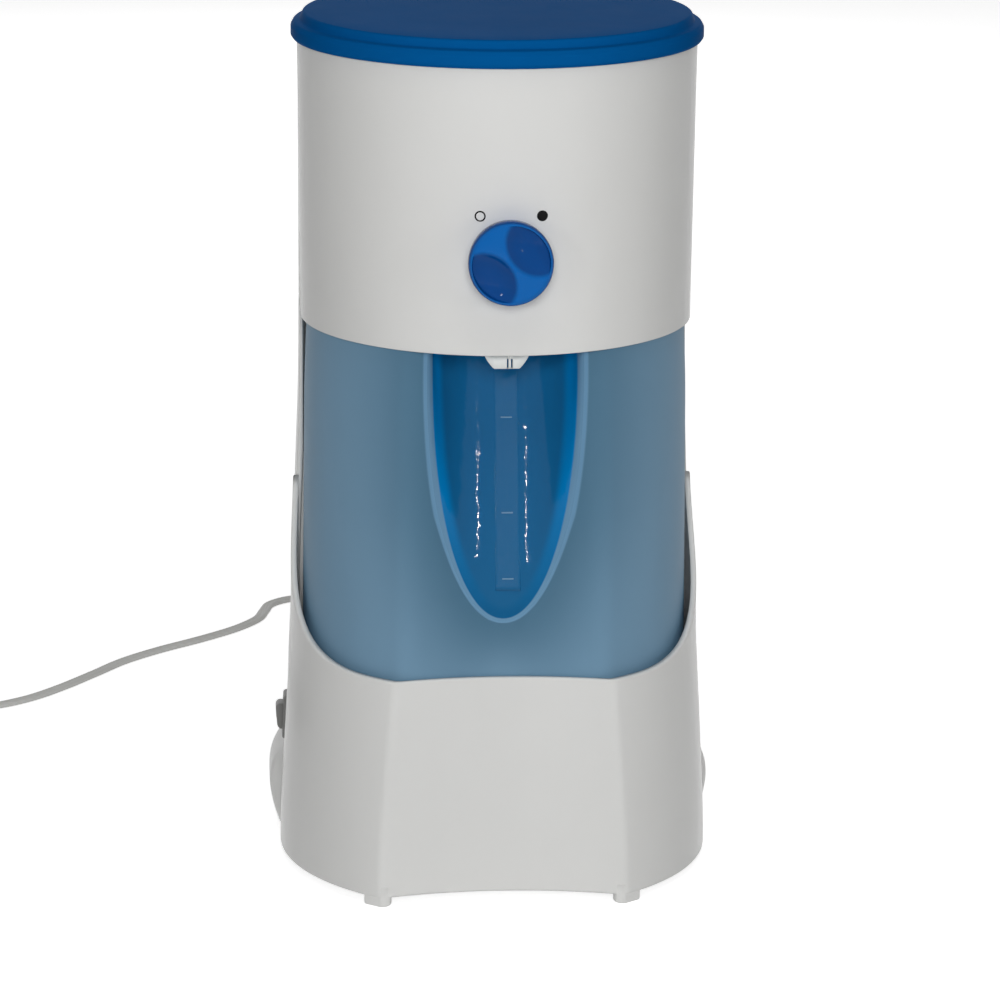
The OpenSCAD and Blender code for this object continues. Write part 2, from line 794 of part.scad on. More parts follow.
// Outer form of the pitcher, a wall t inside its faces
module pitcher_form(t, low) {
    difference() {
        spun([
            [pitcher_r - 3 - t, low], [pitcher_r - 0.8 - t, low + 1.2], [pitcher_r - t, low + 4],
            [pitcher_r - 1.3 - t, pitcher_z + 0.77 * (pitcher_top - pitcher_z)],
            [pitcher_rim_r - t, pitcher_top + (t > 0 ? 1 : 0)]
        ]);
        facet_cut(pitcher_facet_y - t);
        recess_cut(t);
    }
}

// Pitcher: thin walls, a hollow facet with the recess in it, a level rib with
// three marks, and a handle at the back
module pitcher() {
    color("steelblue", 0.6) at_axis() {
        difference() {
            pitcher_form(0, pitcher_z);
            pitcher_form(pitcher_wall, pitcher_z + pitcher_wall);
        }
        intersection() {
            difference() {
                recess_cut(0.1);
                recess_cut(-1.1);
            }
            translate([-level_w / 2, -far, rib_low]) cube([level_w, far, rib_high - rib_low]);
            difference() {
                cylinder(r = far, h = far);
                facet_cut(pitcher_facet_y);
            }
        }
        pitcher_handle();
    }
}

// Handle: a grip bar with an arm to the wall at each end
module pitcher_handle() {
    difference() {
        translate([-handle_w / 2, 0, 0]) rotate([90, 0, 90]) linear_extrude(handle_w) difference() {
            offset_box(pitcher_r - 6, handle_low, handle_y, handle_top, 9);
            offset_box(pitcher_r - 8, handle_low + handle_t, handle_y - handle_t, handle_top - handle_t, 6);
        }
        pitcher_form(pitcher_wall - 0.2, pitcher_z);
    }
}

// Rectangle in the Y, Z plane with round corners on its far side
module offset_box(y0, z0, y1, z1, r) {
    union() {
        translate([y0, z0]) square([y1 - y0 - r, z1 - z0]);
        translate([y0, z0 + r]) square([y1 - y0, z1 - z0 - 2 * r]);
        for (z = [z0 + r, z1 - r]) translate([y1 - r, z]) circle(r);
    }
}

// Height of the dock's sloping top at y behind the pitcher's axis
function dock_top(y) = drum_top - 6.5 - (y - drum_r) * dock_slope;

// Space above the dock's top, c above it: level near the lid, then sloping back
module above_dock(c) {
    translate([-far, -far, drum_top - 3 + c]) cube([2 * far, 2 * far, far]);
    translate([0, drum_r, dock_top(drum_r) + c]) rotate([-atan(dock_slope), 0, 0])
        translate([-far, -far, 0]) cube([2 * far, 2 * far, far]);
}

// Outer form of the drum's round wall, a wall t inside its face
module drum_form(t, low) {
    spun([[drum_r - t, low], [drum_top_r - t, drum_top]]);
}

// Drum: round wall, floor, skirt over the pitcher's rim, ledge for the tea
// basket, and the dock at the back that stands on the tower
module drum_shell() {
    color("whitesmoke") at_axis() difference() {
        union() {
            difference() {
                drum_form(0, drum_z);
                translate([0, 0, drum_z - 1]) cylinder(r = pitcher_rim_r + gap, h = skirt_h + 1);
                drum_bowl();
            }
            difference() {
                rear_form([[tower_r, drum_z], [tower_r, drum_top]], tower_edge_y);
                rear_form([[tower_r - drum_wall, drum_z - 1], [tower_r - drum_wall, plate_z]], tower_edge_y - 8);
                rear_form([[tower_r - drum_wall, plate_top], [tower_r - drum_wall, drum_top + 1]], tower_edge_y + drum_wall);
                above_dock(-dock_cover_t - 0.02);
                translate([0, 0, -1]) cylinder(r = drum_r - 1, h = far);
            }
            hinge_ears();
        }
        translate([riser_x, riser_y, 0]) cylinder(r = riser_r + 3 + run, h = far);
        arm_bore(riser_r + 0.4);
        translate([0, 0, plate_z - 1]) cylinder(r = stem_r + 2.4, h = plate_t + 2);
        translate([0, 0, knob_z]) rotate([90, 0, 0]) cylinder(r = shaft_r + run, h = far);
        lid_sweep();
    }
}

// Inside of the drum above its floor, with the ledge left in
module drum_bowl() {
    difference() {
        drum_form(drum_wall, plate_top);
        difference() {
            translate([0, 0, basket_z + basket_h - 3]) cylinder(r = drum_top_r, h = 3);
            translate([0, 0, basket_z + basket_h - 4]) cylinder(r = basket_r + 0.8, h = 5);
        }
    }
    translate([0, 0, drum_top - 0.5]) cylinder(r = drum_top_r - drum_wall, h = 2);
}

// Bore along the shower arm, from the riser's line to the drum's middle
module arm_bore(r) {
    translate([riser_x, riser_y, arm_z]) rotate([90, 0, atan2(-riser_x, riser_y)])
        translate([0, 0, -2]) cylinder(r = r, h = arm_len + 4);
}

// Ears on the drum's back that carry the hinge pin
module hinge_ears() {
    for (side = [-1, 1]) difference() {
        union() {
            translate([side * ear_x - ear_w / 2, hinge_y, hinge_z]) rotate([0, 90, 0]) cylinder(r = knuckle_r, h = ear_w);
            translate([side * ear_x - ear_w / 2, drum_r - 1, drum_top - 12])
                cube([ear_w, hinge_y - drum_r + 1 + knuckle_r, 11.8]);
            translate([side * ear_x - ear_w / 2, hinge_y - knuckle_r, drum_top - 1])
                cube([ear_w, 2 * knuckle_r, hinge_z - drum_top + 1]);
        }
        translate([side * ear_x, hinge_y, hinge_z]) rotate([0, 90, 0])
            cylinder(r = pin_r + 0.02, h = 20, center = true);
        translate([0, 0, -1]) cylinder(r = drum_r - 0.5, h = far);
    }
}

// Space that the lid's rim and knuckle need round the hinge
module lid_sweep() {
    translate([-14.5, hinge_y, hinge_z]) rotate([0, 90, 0]) cylinder(r = knuckle_r + 0.4, h = 29);
}

// Sloping cover on the dock
module dock_cover() {
    color("whitesmoke") at_axis() difference() {
        rear_form([[tower_r, drum_z], [tower_r, drum_top]], tower_edge_y);
        above_dock(0);
        below_dock_cover();
        drum_clear();
        for (side = [-1, 1]) translate([side * ear_x - ear_w / 2 - gap, 0, drum_z])
            cube([ear_w + 2 * gap, hinge_y + knuckle_r + 0.5, far]);
        lid_sweep();
    }
}

// Space under the dock's sloping cover
module below_dock_cover() {
    difference() {
        translate([-far, -far, 0]) cube([2 * far, 2 * far, far + drum_top]);
        above_dock(-dock_cover_t);
    }
}

// Drum's outer form with a small clearance
module drum_clear() {
    spun([[drum_r + 0.1, 0], [drum_top_r + 0.1, drum_top + 20]]);
}

// Spout under the drum, with two slots in its foot
module outlet_nozzle() {
    low = plate_z - nozzle_h;
    color("white") at_axis() difference() {
        union() {
            translate([0, 0, plate_z - 3]) cylinder(r = nozzle_r + 4, h = 3);
            spun([
                [nozzle_r - 5, low], [nozzle_r - 2.2, low + 1.2], [nozzle_r - 0.6, low + 3.4],
                [nozzle_r, low + 6], [nozzle_r, plate_z - 2]
            ]);
        }
        difference() {
            translate([0, 0, low + 2]) cylinder(r = nozzle_r - 1.8, h = nozzle_h);
            translate([0, 0, seat_z - 2.4]) cylinder(r = nozzle_r, h = 2.4);
        }
        translate([0, 0, low + 3]) cylinder(r = stem_r + 2, h = nozzle_h);
        for (x = [-1.5, 1.5]) translate([x - 0.7, -far / 2, low - 1]) cube([1.4, far, 6]);
    }
}

// Tea basket: a tapered cup with a slotted floor and sides and a flange
module filter_basket() {
    color("white") at_axis() difference() {
        union() {
            spun([[basket_r - 9, basket_z], [basket_r, basket_z + basket_h]]);
            translate([0, 0, basket_z + basket_h]) cylinder(r = basket_r + 3.4, h = 1.6);
        }
        spun([[basket_r - 10.6, basket_z + 1.6], [basket_r - 1.6, basket_z + basket_h + 1.6]]);
        translate([0, 0, basket_z + basket_h]) cylinder(r = basket_r - 1.6, h = 3);
        for (a = [0 : 15 : 345]) rotate([0, 0, a]) {
            translate([16, -0.7, basket_z - 1]) cube([12, 1.4, 4]);
            translate([34, -0.9, basket_z - 1]) cube([26, 1.8, 4]);
        }
    }
}

// Arm that carries the hot water from the riser to the drum's middle
module shower_arm() {
    color("white") at_axis() difference() {
        union() {
            translate([riser_x, riser_y, plate_z]) cylinder(r = riser_r + 3, h = 12);
            translate([riser_x, riser_y, plate_z + 8])
                cylinder(r = riser_r + 0.6, h = arm_z + riser_r + 0.6 - plate_z - 8);
            arm_bore(riser_r);
            translate([0, 0, arm_z - riser_r - 1]) cylinder(r = riser_r + 2, h = 2 * riser_r + 2.2);
        }
        translate([riser_x, riser_y, plate_z - 1]) cylinder(r = riser_r + run, h = nipple_h - 2);
        translate([riser_x, riser_y, plate_z]) cylinder(r = riser_r - 1.2, h = arm_z + 1 - plate_z);
        arm_bore(riser_r - 1.6);
        translate([0, 0, arm_z - 20]) cylinder(r = riser_r - 1.2, h = 21);
    }
}

// Shower head: a shallow dish with rings of holes over the tea basket
module shower_head() {
    color("white") at_axis() translate([0, 0, arm_z - riser_r - 4.4]) difference() {
        cylinder(r = 24, h = 3.4);
        translate([0, 0, 1.2]) cylinder(r = 22.6, h = 1.2);
        translate([0, 0, 1.2]) cylinder(r = riser_r - 1.4, h = 4);
        for (ring = [[10, 8], [18, 14]]) for (a = [0 : ring[1] - 1])
            rotate([0, 0, a * 360 / ring[1]]) translate([ring[0], 0, -1]) cylinder(r = 1, h = 3, $fn = 24);
    }
}

// Guide on the drum's floor: a sleeve for the stem and a post for the shaft
module valve_guide() {
    color("ivory") at_axis() difference() {
        union() {
            translate([-9, -34, plate_top]) cube([18, 46, 2]);
            translate([0, 0, plate_top]) cylinder(r = stem_r + 2, h = 13);
            translate([-6, -32, plate_top]) cube([12, 4, knob_z - plate_top]);
            translate([0, -28, knob_z]) rotate([90, 0, 0]) cylinder(r = 6, h = 4);
        }
        translate([0, 0, plate_z - 1]) cylinder(r = stem_r + run, h = far);
        translate([0, 0, knob_z]) rotate([90, 0, 0]) cylinder(r = shaft_r + run, h = far);
        for (x = [-7.5, 4.5]) translate([x, -8, plate_z]) cube([3, 6, far]);
    }
}

// Rack or pinion tooth: a trapezoid that points along +X from the pitch line
module tooth() {
    polygon([[-1.6, -1.15], [-1.0, -1.02], [0.75, -0.35], [0.75, 0.35], [-1.0, 1.02], [-1.6, 1.15]]);
}

// Valve stem: a cone that closes the spout, a rod and the rack on its side arm
module valve_stem() {
    rack_x = pinion_r + 0.1;
    color("orange") at_axis() {
        translate([0, 0, seat_z + valve_travel + 0.4]) {
            cylinder(r1 = stem_r + 0.7, r2 = stem_r + 3.2, h = 5);
            cylinder(r = stem_r, h = knob_z - 11 - seat_z - valve_travel);
        }
        translate([-stem_r, -rack_y, knob_z - rack_drop]) cube([rack_x + 5 + stem_r, rack_y + stem_r, 2.6]);
        translate([0, -15, 0]) rotate([90, 0, 0]) linear_extrude(8) {
            translate([rack_x + 1, knob_z - 12]) square([4, 21.4]);
            for (i = [-2 : 2])
                translate([rack_x + 0.1, knob_z + (i + 0.5) * tooth_pitch]) mirror([1, 0]) tooth();
        }
    }
}

// Knob: a round button with a bow-tie grip between two scooped hollows
module knob() {
    color("royalblue") at_axis() translate([0, -knob_back, knob_z]) rotate([90, 0, 0]) rotate([0, 0, knob_rest]) difference() {
        union() {
            cylinder(r = knob_r, h = knob_h - 3);
            translate([0, 0, knob_h - 3]) cylinder(r1 = knob_r, r2 = knob_r - 2.4, h = 3);
        }
        for (side = [-1, 1]) translate([0, side * knob_r * 1.12, knob_h + knob_r * 0.42]) sphere(knob_r * 1.02);
        translate([0, 0, -1]) cylinder(r = shaft_r + 0.02, h = 9);
    }
}

// Shaft of the knob with its pinion
module knob_shaft() {
    color("ivory") at_axis() {
        translate([0, -24, knob_z]) rotate([90, 0, 0]) cylinder(r = shaft_r, h = knob_back - 24 + 7.5);
        translate([0, -15, knob_z]) rotate([90, 0, 0]) {
            cylinder(r = shaft_r, h = 9.2);
            linear_extrude(8) {
                circle(pinion_r - 1.1);
                for (i = [0 : pinion_teeth - 1])
                    rotate([0, 0, i * 360 / pinion_teeth]) translate([pinion_r, 0]) tooth();
            }
        }
    }
}

// Clip that holds the shaft against the inside of the drum's wall
module knob_clip() {
    color("silver") at_axis() translate([0, -clip_y, knob_z]) rotate([90, 0, 0]) difference() {
        cylinder(r = shaft_r + 2.6, h = 1);
        translate([0, 0, -1]) cylinder(r = shaft_r + 0.02, h = 3);
        translate([-1.4, 0, -1]) cube([2.8, 10, 3]);
    }
}

// Ring under the lid that drops inside the drum's wall
module lid_lip() {
    difference() {
        translate([0, 0, drum_top - 3]) cylinder(r = lip_r, h = lid_rim_h + 3);
        translate([0, 0, drum_top - 4]) cylinder(r = lip_r - 1.6, h = far);
    }
}

// Lid: a rim that overhangs the drum, a raised inner disc, a lip inside the
// drum's wall and a hinge knuckle at the back
module lid() {
    color("royalblue") at_axis() difference() {
        union() {
            spun([
                [lid_r - 1.2, drum_top + 0.2], [lid_r, drum_top + 2], [lid_r, drum_top + lid_rim_h - 2],
                [lid_r - 0.8, drum_top + lid_rim_h - 0.6], [lid_r - 2.4, drum_top + lid_rim_h],
                [lid_r - 4.4, drum_top + lid_rim_h], [lid_r - 6, drum_top + lid_rim_h + lid_rise - 1],
                [lid_r - 8, drum_top + lid_rim_h + lid_rise]
            ]);
            lid_lip();
            translate([-13.6, hinge_y, hinge_z]) rotate([0, 90, 0]) cylinder(r = knuckle_r, h = 27.2);
            translate([-13.6, lid_r - 6, hinge_z]) cube([27.2, hinge_y - lid_r + 6, knuckle_r]);
        }
        difference() {
            spun([
                [lid_r - 2.2, drum_top + 0.1], [lid_r - 2.2, drum_top + lid_rim_h - lid_wall - 1],
                [lid_r - 6.6, drum_top + lid_rim_h - lid_wall], [lid_r - 8.4, drum_top + lid_rim_h + lid_rise - lid_wall]
            ]);
            lid_lip();
        }
        translate([-far, hinge_y, hinge_z]) rotate([0, 90, 0]) cylinder(r = pin_r + run, h = 2 * far);
        for (side = [-1, 1]) translate([side * ear_x - ear_w / 2 - 0.8, lid_r - 3, drum_top - 1])
            cube([ear_w + 1.6, 20, 30]);
    }
}

// Hinge pin through the drum's ears and the lid's knuckle
module hinge_pin() {
    color("silver") at_axis() translate([0, hinge_y, hinge_z]) rotate([0, 90, 0])
        cylinder(r = pin_r, h = hinge_pin_l, center = true);
}

front_shell();
rear_housing();
pitcher_well();
tower_cap();
bottom_cover();
bottom_screws();
reservoir_tank();
cold_hose();
check_valve_body();
check_ball();
heating_tube();
heating_element();
heater_clamps();
thermostat();
thermal_fuse();
hot_hose();
riser_tube();
hose_clips();
switch_bezel();
rocker();
switch_body();
strain_relief();
cord();
cord_coil();
cord_tie();
plug_body();
plug_blades();
pitcher();
drum_shell();
dock_cover();
outlet_nozzle();
filter_basket();
shower_arm();
shower_head();
valve_guide();
valve_stem();
knob();
knob_shaft();
knob_clip();
lid();
hinge_pin();
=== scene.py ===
"""Looks of an iced tea maker, laid out as a Blender add-on.

Every piece is a surface worked out with numpy on a grid of two parameters.
Sizes are in millimetres from the pitcher's axis, and go into the mesh in
metres in the row frame.
"""

import math

import bmesh
import bpy
import numpy as np
from mathutils import Matrix


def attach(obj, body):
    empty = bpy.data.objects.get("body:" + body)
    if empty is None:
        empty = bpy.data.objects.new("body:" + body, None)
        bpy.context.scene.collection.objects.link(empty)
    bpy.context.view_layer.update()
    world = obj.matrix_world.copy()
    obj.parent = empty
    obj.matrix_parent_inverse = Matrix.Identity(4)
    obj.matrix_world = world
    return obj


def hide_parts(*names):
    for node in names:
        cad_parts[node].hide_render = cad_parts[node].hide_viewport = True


bl_info = {
    "name": "Iced tea maker",
    "version": (1, 0, 0),
    "blender": (4, 5, 0),
    "location": "View3D > Sidebar > Tea maker",
    "description": "Builds the looks of an iced tea maker round its CAD frame",
    "category": "Add Mesh",
}

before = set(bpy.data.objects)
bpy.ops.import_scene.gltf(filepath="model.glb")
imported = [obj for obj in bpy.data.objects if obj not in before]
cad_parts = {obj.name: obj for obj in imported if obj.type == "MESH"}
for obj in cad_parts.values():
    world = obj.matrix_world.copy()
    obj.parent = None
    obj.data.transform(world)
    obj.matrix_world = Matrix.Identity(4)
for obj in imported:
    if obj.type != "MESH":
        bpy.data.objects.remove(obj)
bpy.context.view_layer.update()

MM = 0.001
TAU = 2 * math.pi
# The pitcher's axis in the row frame, in millimetres
AXIS_Y = -21.591

# Heights in millimetres above the table
PITCHER_Z = 94.0
RIM_Z = 105.5
DRUM_Z = 256.2
KNOB_Z = 300.2
DRUM_TOP = 382.5
HINGE_Z = 386.9

# Radii in millimetres from the pitcher's axis
DRUM_R = 88.5
DRUM_TOP_R = 89.7
LID_R = 92.4
WELL_R = 88.9

# Places behind the pitcher's axis, in millimetres
SEAM_Y = 16.0
TOWER_EDGE_Y = 18.0
TOWER_SHIFT = 46.0
HINGE_Y = 97.0


def make_object(name, verts, faces, smooth=True):
    """Object from points in row-frame millimetres, in place of an earlier one of its name;
    faces is a list of index arrays, each of one width."""
    old = bpy.data.objects.get(name)
    if old:
        bpy.data.objects.remove(old)
    mesh = bpy.data.meshes.new(name)
    verts = np.asarray(verts, dtype=np.float64) * MM
    groups = [np.asarray(f, dtype=np.int32) for f in faces if len(f)]
    totals = np.concatenate([np.full(len(g), g.shape[1], dtype=np.int32) for g in groups])
    starts = np.concatenate([[0], np.cumsum(totals)[:-1]]).astype(np.int32)
    mesh.vertices.add(len(verts))
    mesh.vertices.foreach_set("co", verts.astype(np.float32).ravel())
    mesh.loops.add(int(totals.sum()))
    mesh.loops.foreach_set("vertex_index", np.concatenate([g.ravel() for g in groups]))
    mesh.polygons.add(len(totals))
    mesh.polygons.foreach_set("loop_start", starts)
    mesh.polygons.foreach_set("loop_total", totals)
    mesh.polygons.foreach_set("use_smooth", np.full(len(totals), smooth))
    mesh.update(calc_edges=True)
    mesh.validate()
    piece = bpy.data.objects.new(name, mesh)
    bpy.context.scene.collection.objects.link(piece)
    return piece


def grid_faces(rows, cols, wrap_rows):
    """Quads of a rows by cols grid of points. Each row is a closed loop; wrap_rows joins the last
    row to the first."""
    i, j = np.meshgrid(np.arange(rows if wrap_rows else rows - 1), np.arange(cols), indexing="ij")
    i2, j2 = (i + 1) % rows, (j + 1) % cols
    quads = np.stack([i * cols + j, i2 * cols + j, i2 * cols + j2, i * cols + j2], axis=-1)
    return quads.reshape(-1, 4)


def outward(piece):
    """Merges doubles and turns every face outwards; a closed solid then has a positive volume."""
    merge = 1e-7
    work = bmesh.new()
    work.from_mesh(piece.data)
    bmesh.ops.remove_doubles(work, verts=work.verts, dist=merge)
    bmesh.ops.dissolve_degenerate(work, edges=work.edges, dist=merge)
    bmesh.ops.recalc_face_normals(work, faces=work.faces)
    if work.calc_volume(signed=True) < 0:
        bmesh.ops.reverse_faces(work, faces=work.faces)
    work.to_mesh(piece.data)
    work.free()
    return piece


def mark_points(piece, name, values):
    """Gives each point of a piece a number that its material reads."""
    put = piece.data.attributes.new(name, "FLOAT", "POINT")
    put.data.foreach_set("value", np.ravel(values).astype(np.float32))


def grid_piece(name, grid, wrap_rows=True, **marks):
    """Closed solid through rows of closed loops of points; marks are numbers per point."""
    piece = make_object(name, grid.reshape(-1, 3), [grid_faces(*grid.shape[:2], wrap_rows)])
    for key, values in marks.items():
        mark_points(piece, key, values)
    return outward(piece)


def from_axis(x, y, z):
    """Points given from the pitcher's axis, stacked in the row frame; x, y and z are spread to
    one shape."""
    return np.stack(np.broadcast_arrays(x, np.asarray(y) + AXIS_Y, z), axis=-1)


def around(count):
    """Angles of count points evenly round a circle."""
    return np.arange(count) * TAU / count


def runs(start, *parts):
    """Even runs of values from start, each given by its end and its count with both ends; a
    value where two runs meet is kept once."""
    out = []
    for end, count in parts:
        out.append(np.linspace(start, end, count)[:-1])
        start = end
    return np.concatenate(out + [[start]])


def rounded(points, radii, steps=6):
    """Profile through 2-D points whose corners are arcs: each corner is cut back by its radius
    along both sides and joined by a circle tangent to both."""
    points = np.asarray(points, dtype=float)
    most = 0.49
    out = []
    for k, (p, r) in enumerate(zip(points, radii)):
        if r <= 0:
            out.append(p)
            continue
        a, b = points[k - 1] - p, points[(k + 1) % len(points)] - p
        la, lb = np.linalg.norm(a), np.linalg.norm(b)
        a, b = a / la, b / lb
        half = math.acos(max(-1.0, min(1.0, float(a @ b)))) / 2
        back = min(r / math.tan(half), most * la, most * lb)
        r = back * math.tan(half)
        middle = p + (a + b) / np.linalg.norm(a + b) * (r / math.sin(half))
        start, end = p + a * back - middle, p + b * back - middle
        s = math.atan2(start[1], start[0])
        turn = (math.atan2(end[1], end[0]) - s + math.pi) % TAU - math.pi
        angles = s + turn * np.linspace(0, 1, steps + 1)
        out.extend(middle + r * np.stack([np.cos(angles), np.sin(angles)], axis=-1))
    return np.array(out)


def lathe(name, profile, count=192):
    """Closed ring: each point (r, z) of a closed profile turns round an upright axis,
    x = r cos a, y = r sin a. Points with r = 0 become poles."""
    r, z = np.asarray(profile, dtype=float).T
    a = around(count)
    return grid_piece(name, from_axis(np.outer(np.cos(a), r), np.outer(np.sin(a), r), z))


def sweep_loops(name, loops):
    """Solid between closed loops of points, one after another. Each end is closed by a ladder of
    quads between point k and point n - 1 - k of its loop, so that a hollow outline stays hollow."""
    count, size, _ = loops.shape
    rungs = np.arange(size // 2 - 1)
    ladder = np.stack([rungs, rungs + 1, size - 2 - rungs, size - 1 - rungs], axis=-1)
    last = (count - 1) * size
    faces = [grid_faces(count, size, False), np.concatenate([ladder, ladder + last])]
    if size % 2:
        tip = np.array([[size // 2 - 1, size // 2, size // 2 + 1]])
        faces.append(np.concatenate([tip, tip + last]))
    return outward(make_object(name, loops.reshape(-1, 3), faces))


def cut_away(piece, cutter):
    """Takes the cutter's solid out of the piece and removes the cutter."""
    boolean = piece.modifiers.new("cut", "BOOLEAN")
    boolean.operation, boolean.solver, boolean.object = "DIFFERENCE", "EXACT", cutter
    done = bpy.data.meshes.new_from_object(
        piece.evaluated_get(bpy.context.evaluated_depsgraph_get()))
    piece.modifiers.clear()
    old = piece.data
    piece.data = done
    done.name = piece.name
    bpy.data.meshes.remove(old)
    bpy.data.objects.remove(cutter)


def box_solid(name, low, high):
    """Plain box between two corners."""
    x, y, z = np.array([low, high]).T
    verts = from_axis(*[v.ravel() for v in np.meshgrid(x, y, z, indexing="ij")])
    quads = [[0, 1, 3, 2], [4, 6, 7, 5], [0, 4, 5, 1], [2, 3, 7, 6], [0, 2, 6, 4], [1, 5, 7, 3]]
    return outward(make_object(name, verts, [quads], smooth=False))


def soft_edges(piece, width, segments):
    """Small rounded edges where two faces meet at more than an angle."""
    angle = 32
    bevel = piece.modifiers.new("edges", "BEVEL")
    bevel.width, bevel.segments, bevel.limit_method = width * MM, segments, "ANGLE"
    bevel.angle_limit = math.radians(angle)
    bevel.use_clamp_overlap = True
    bevel.harden_normals = False


def smin(a, b, k):
    """Smooth minimum of a and b: equal to the smaller one where they differ by more than k,
    with a parabola between."""
    h = np.clip(0.5 + 0.5 * (b - a) / k, 0, 1)
    return b * (1 - h) + a * h - k * h * (1 - h)


def ease(t):
    """Smooth step of t from 0 to 1, level at both ends: 3 t squared less 2 t cubed."""
    t = np.clip(t, 0, 1)
    return t**2 * (3 - 2 * t)


def spline(x, xs, ys):
    """Smooth curve through (xs, ys): cubic Hermite with slopes from the neighbours on both
    sides."""
    xs, ys = np.asarray(xs, float), np.asarray(ys, float)
    slope = np.gradient(ys, xs)
    i = np.clip(np.searchsorted(xs, x) - 1, 0, len(xs) - 2)
    h = xs[i + 1] - xs[i]
    t = np.clip((x - xs[i]) / h, 0, 1)
    return ((2 * t**3 - 3 * t**2 + 1) * ys[i] + (t**3 - 2 * t**2 + t) * h * slope[i]
            + (3 * t**2 - 2 * t**3) * ys[i + 1] + (t**3 - t**2) * h * slope[i + 1])


def finish_piece(piece, finish, body, slot, *replaces):
    """Gives a piece its material and its body and hides the CAD nodes that it stands for; the slot
    is not used.
    """
    piece.data.materials.clear()
    piece.data.materials.append(MATERIALS[finish])
    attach(piece, body)
    if replaces:
        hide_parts(*replaces)


def colour_property(name, description, value):
    """Linear colour that a user can change."""
    return bpy.props.FloatVectorProperty(name=name, description=description, subtype="COLOR",
                                         size=3, default=value, min=0, max=1)


def length_property(name, description, value, least, most):
    """Length in metres that a user can change."""
    return bpy.props.FloatProperty(name=name, description=description, default=value, min=least,
                                   max=most, unit="LENGTH", subtype="DISTANCE")


class TeaMakerColours(bpy.types.PropertyGroup):
    """Colours of the tea maker's mouldings, linear."""

    housing: colour_property("Housing", "White moulding of base and drum", (0.72, 0.72, 0.705))
    blue: colour_property("Blue", "Solid blue of lid and knob", (0.001, 0.09, 0.30))
    frosted: colour_property("Frosted blue", "Frosted wall of the pitcher", (0.195, 0.345, 0.485))
    polished: colour_property("Polished blue", "Polished recess of the pitcher",
                              (0.008, 0.13, 0.31))
    # painted light: the side walls are the polished blue painted brighter, for how they look at a
    # slant
    side: colour_property("Side blue", "Side walls of the polished recess", (0.0005, 0.23, 0.58))
    lip: colour_property("Lip blue", "Rounded lip round the recess", (0.155, 0.32, 0.49))
    switch: colour_property("Switch grey", "Rocker switch and its frame", (0.15, 0.15, 0.145))


class TeaMakerSizes(bpy.types.PropertyGroup):
    """Sizes of details that only the looks have, in metres."""

    edge: length_property("Edge", "Radius of the rounded moulding edges", 0.0006, 0.0001, 0.002)
    recess_edge: length_property("Recess edge", "Radius of the edge round the polished recess",
                                 0.0065, 0.001, 0.008)
    cord_width: length_property("Cord width", "Width of the flat cord", 0.006, 0.004, 0.008)


def set_inputs(tree, node, values):
    """Fills a node's inputs: a socket is linked, anything else is written on the input itself."""
    for key, value in values.items():
        if isinstance(value, bpy.types.NodeSocket):
            tree.links.new(value, node.inputs[key])
        else:
            node.inputs[key].default_value = value


def add_node(tree, kind, values, output=0, **settings):
    """Adds a node, sets its properties and inputs and returns one of its outputs."""
    node = tree.nodes.new(kind)
    for key, value in settings.items():
        setattr(node, key, value)
    set_inputs(tree, node, values)
    return node.outputs[output]


def node_material(name):
    """New material with a Principled shader; returns material, tree and shader."""
    old = bpy.data.materials.get(name)
    if old:
        bpy.data.materials.remove(old)
    material = bpy.data.materials.new(name)
    material.use_nodes = True
    tree = material.node_tree
    return material, tree, tree.nodes["Principled BSDF"]


def object_place(tree):
    """Position on the object, in metres."""
    return add_node(tree, "ShaderNodeTexCoord", {}, "Object")


def object_noise(tree, scale, detail, stretch=None):
    """Noise on Object coordinates, stretched by a Mapping node where asked."""
    place = object_place(tree)
    if stretch:
        place = add_node(tree, "ShaderNodeMapping", {"Vector": place, "Scale": stretch}, "Vector")
    return add_node(tree, "ShaderNodeTexNoise", {"Vector": place, "Scale": scale, "Detail": detail,
                                                 "Roughness": 0.55}, "Fac")


def ramp(tree, source, start, end, low=0.0, high=1.0, form="LINEAR"):
    """Carries a signal from start to end over to low to high."""
    return add_node(tree, "ShaderNodeMapRange",
                    {"Value": source, "From Min": start, "From Max": end, "To Min": low,
                     "To Max": high}, "Result", interpolation_type=form)


def vary(tree, noise, low, high):
    """Carries a noise, which keeps to 0.3 to 0.7, over to low to high."""
    return ramp(tree, noise, 0.3, 0.7, low, high)


def mixed(tree, factor, low, high, kind="RGBA"):
    """Goes from low to high with the factor; both are sockets, or colours for kind RGBA and
    numbers for kind FLOAT."""
    first, output = (6, 2) if kind == "RGBA" else (2, 0)
    values = {0: factor}
    for key, value in ((first, low), (first + 1, high)):
        plain = kind == "FLOAT" or isinstance(value, bpy.types.NodeSocket)
        values[key] = value if plain else (*value, 1)
    return add_node(tree, "ShaderNodeMix", values, output, data_type=kind)


def clouded(tree, colour, dark, light, scale, detail, stretch):
    """A colour that drifts in soft clouds between two shares of itself."""
    factor = vary(tree, object_noise(tree, scale, detail, stretch), 0, 1)
    return mixed(tree, factor, colour * np.array(dark), np.minimum(colour * np.array(light), 1))


def grained(tree, scale, strength, depth, edge=0.0, stretch=None):
    """Normal of a fine grain; an edge radius rounds a CAD node's hard edges in the shading."""
    values = {"Height": object_noise(tree, scale, 2.0, stretch), "Strength": strength,
              "Distance": depth}
    if edge:
        values["Normal"] = add_node(tree, "ShaderNodeBevel", {"Radius": edge}, "Normal", samples=4)
    return add_node(tree, "ShaderNodeBump", values, "Normal")


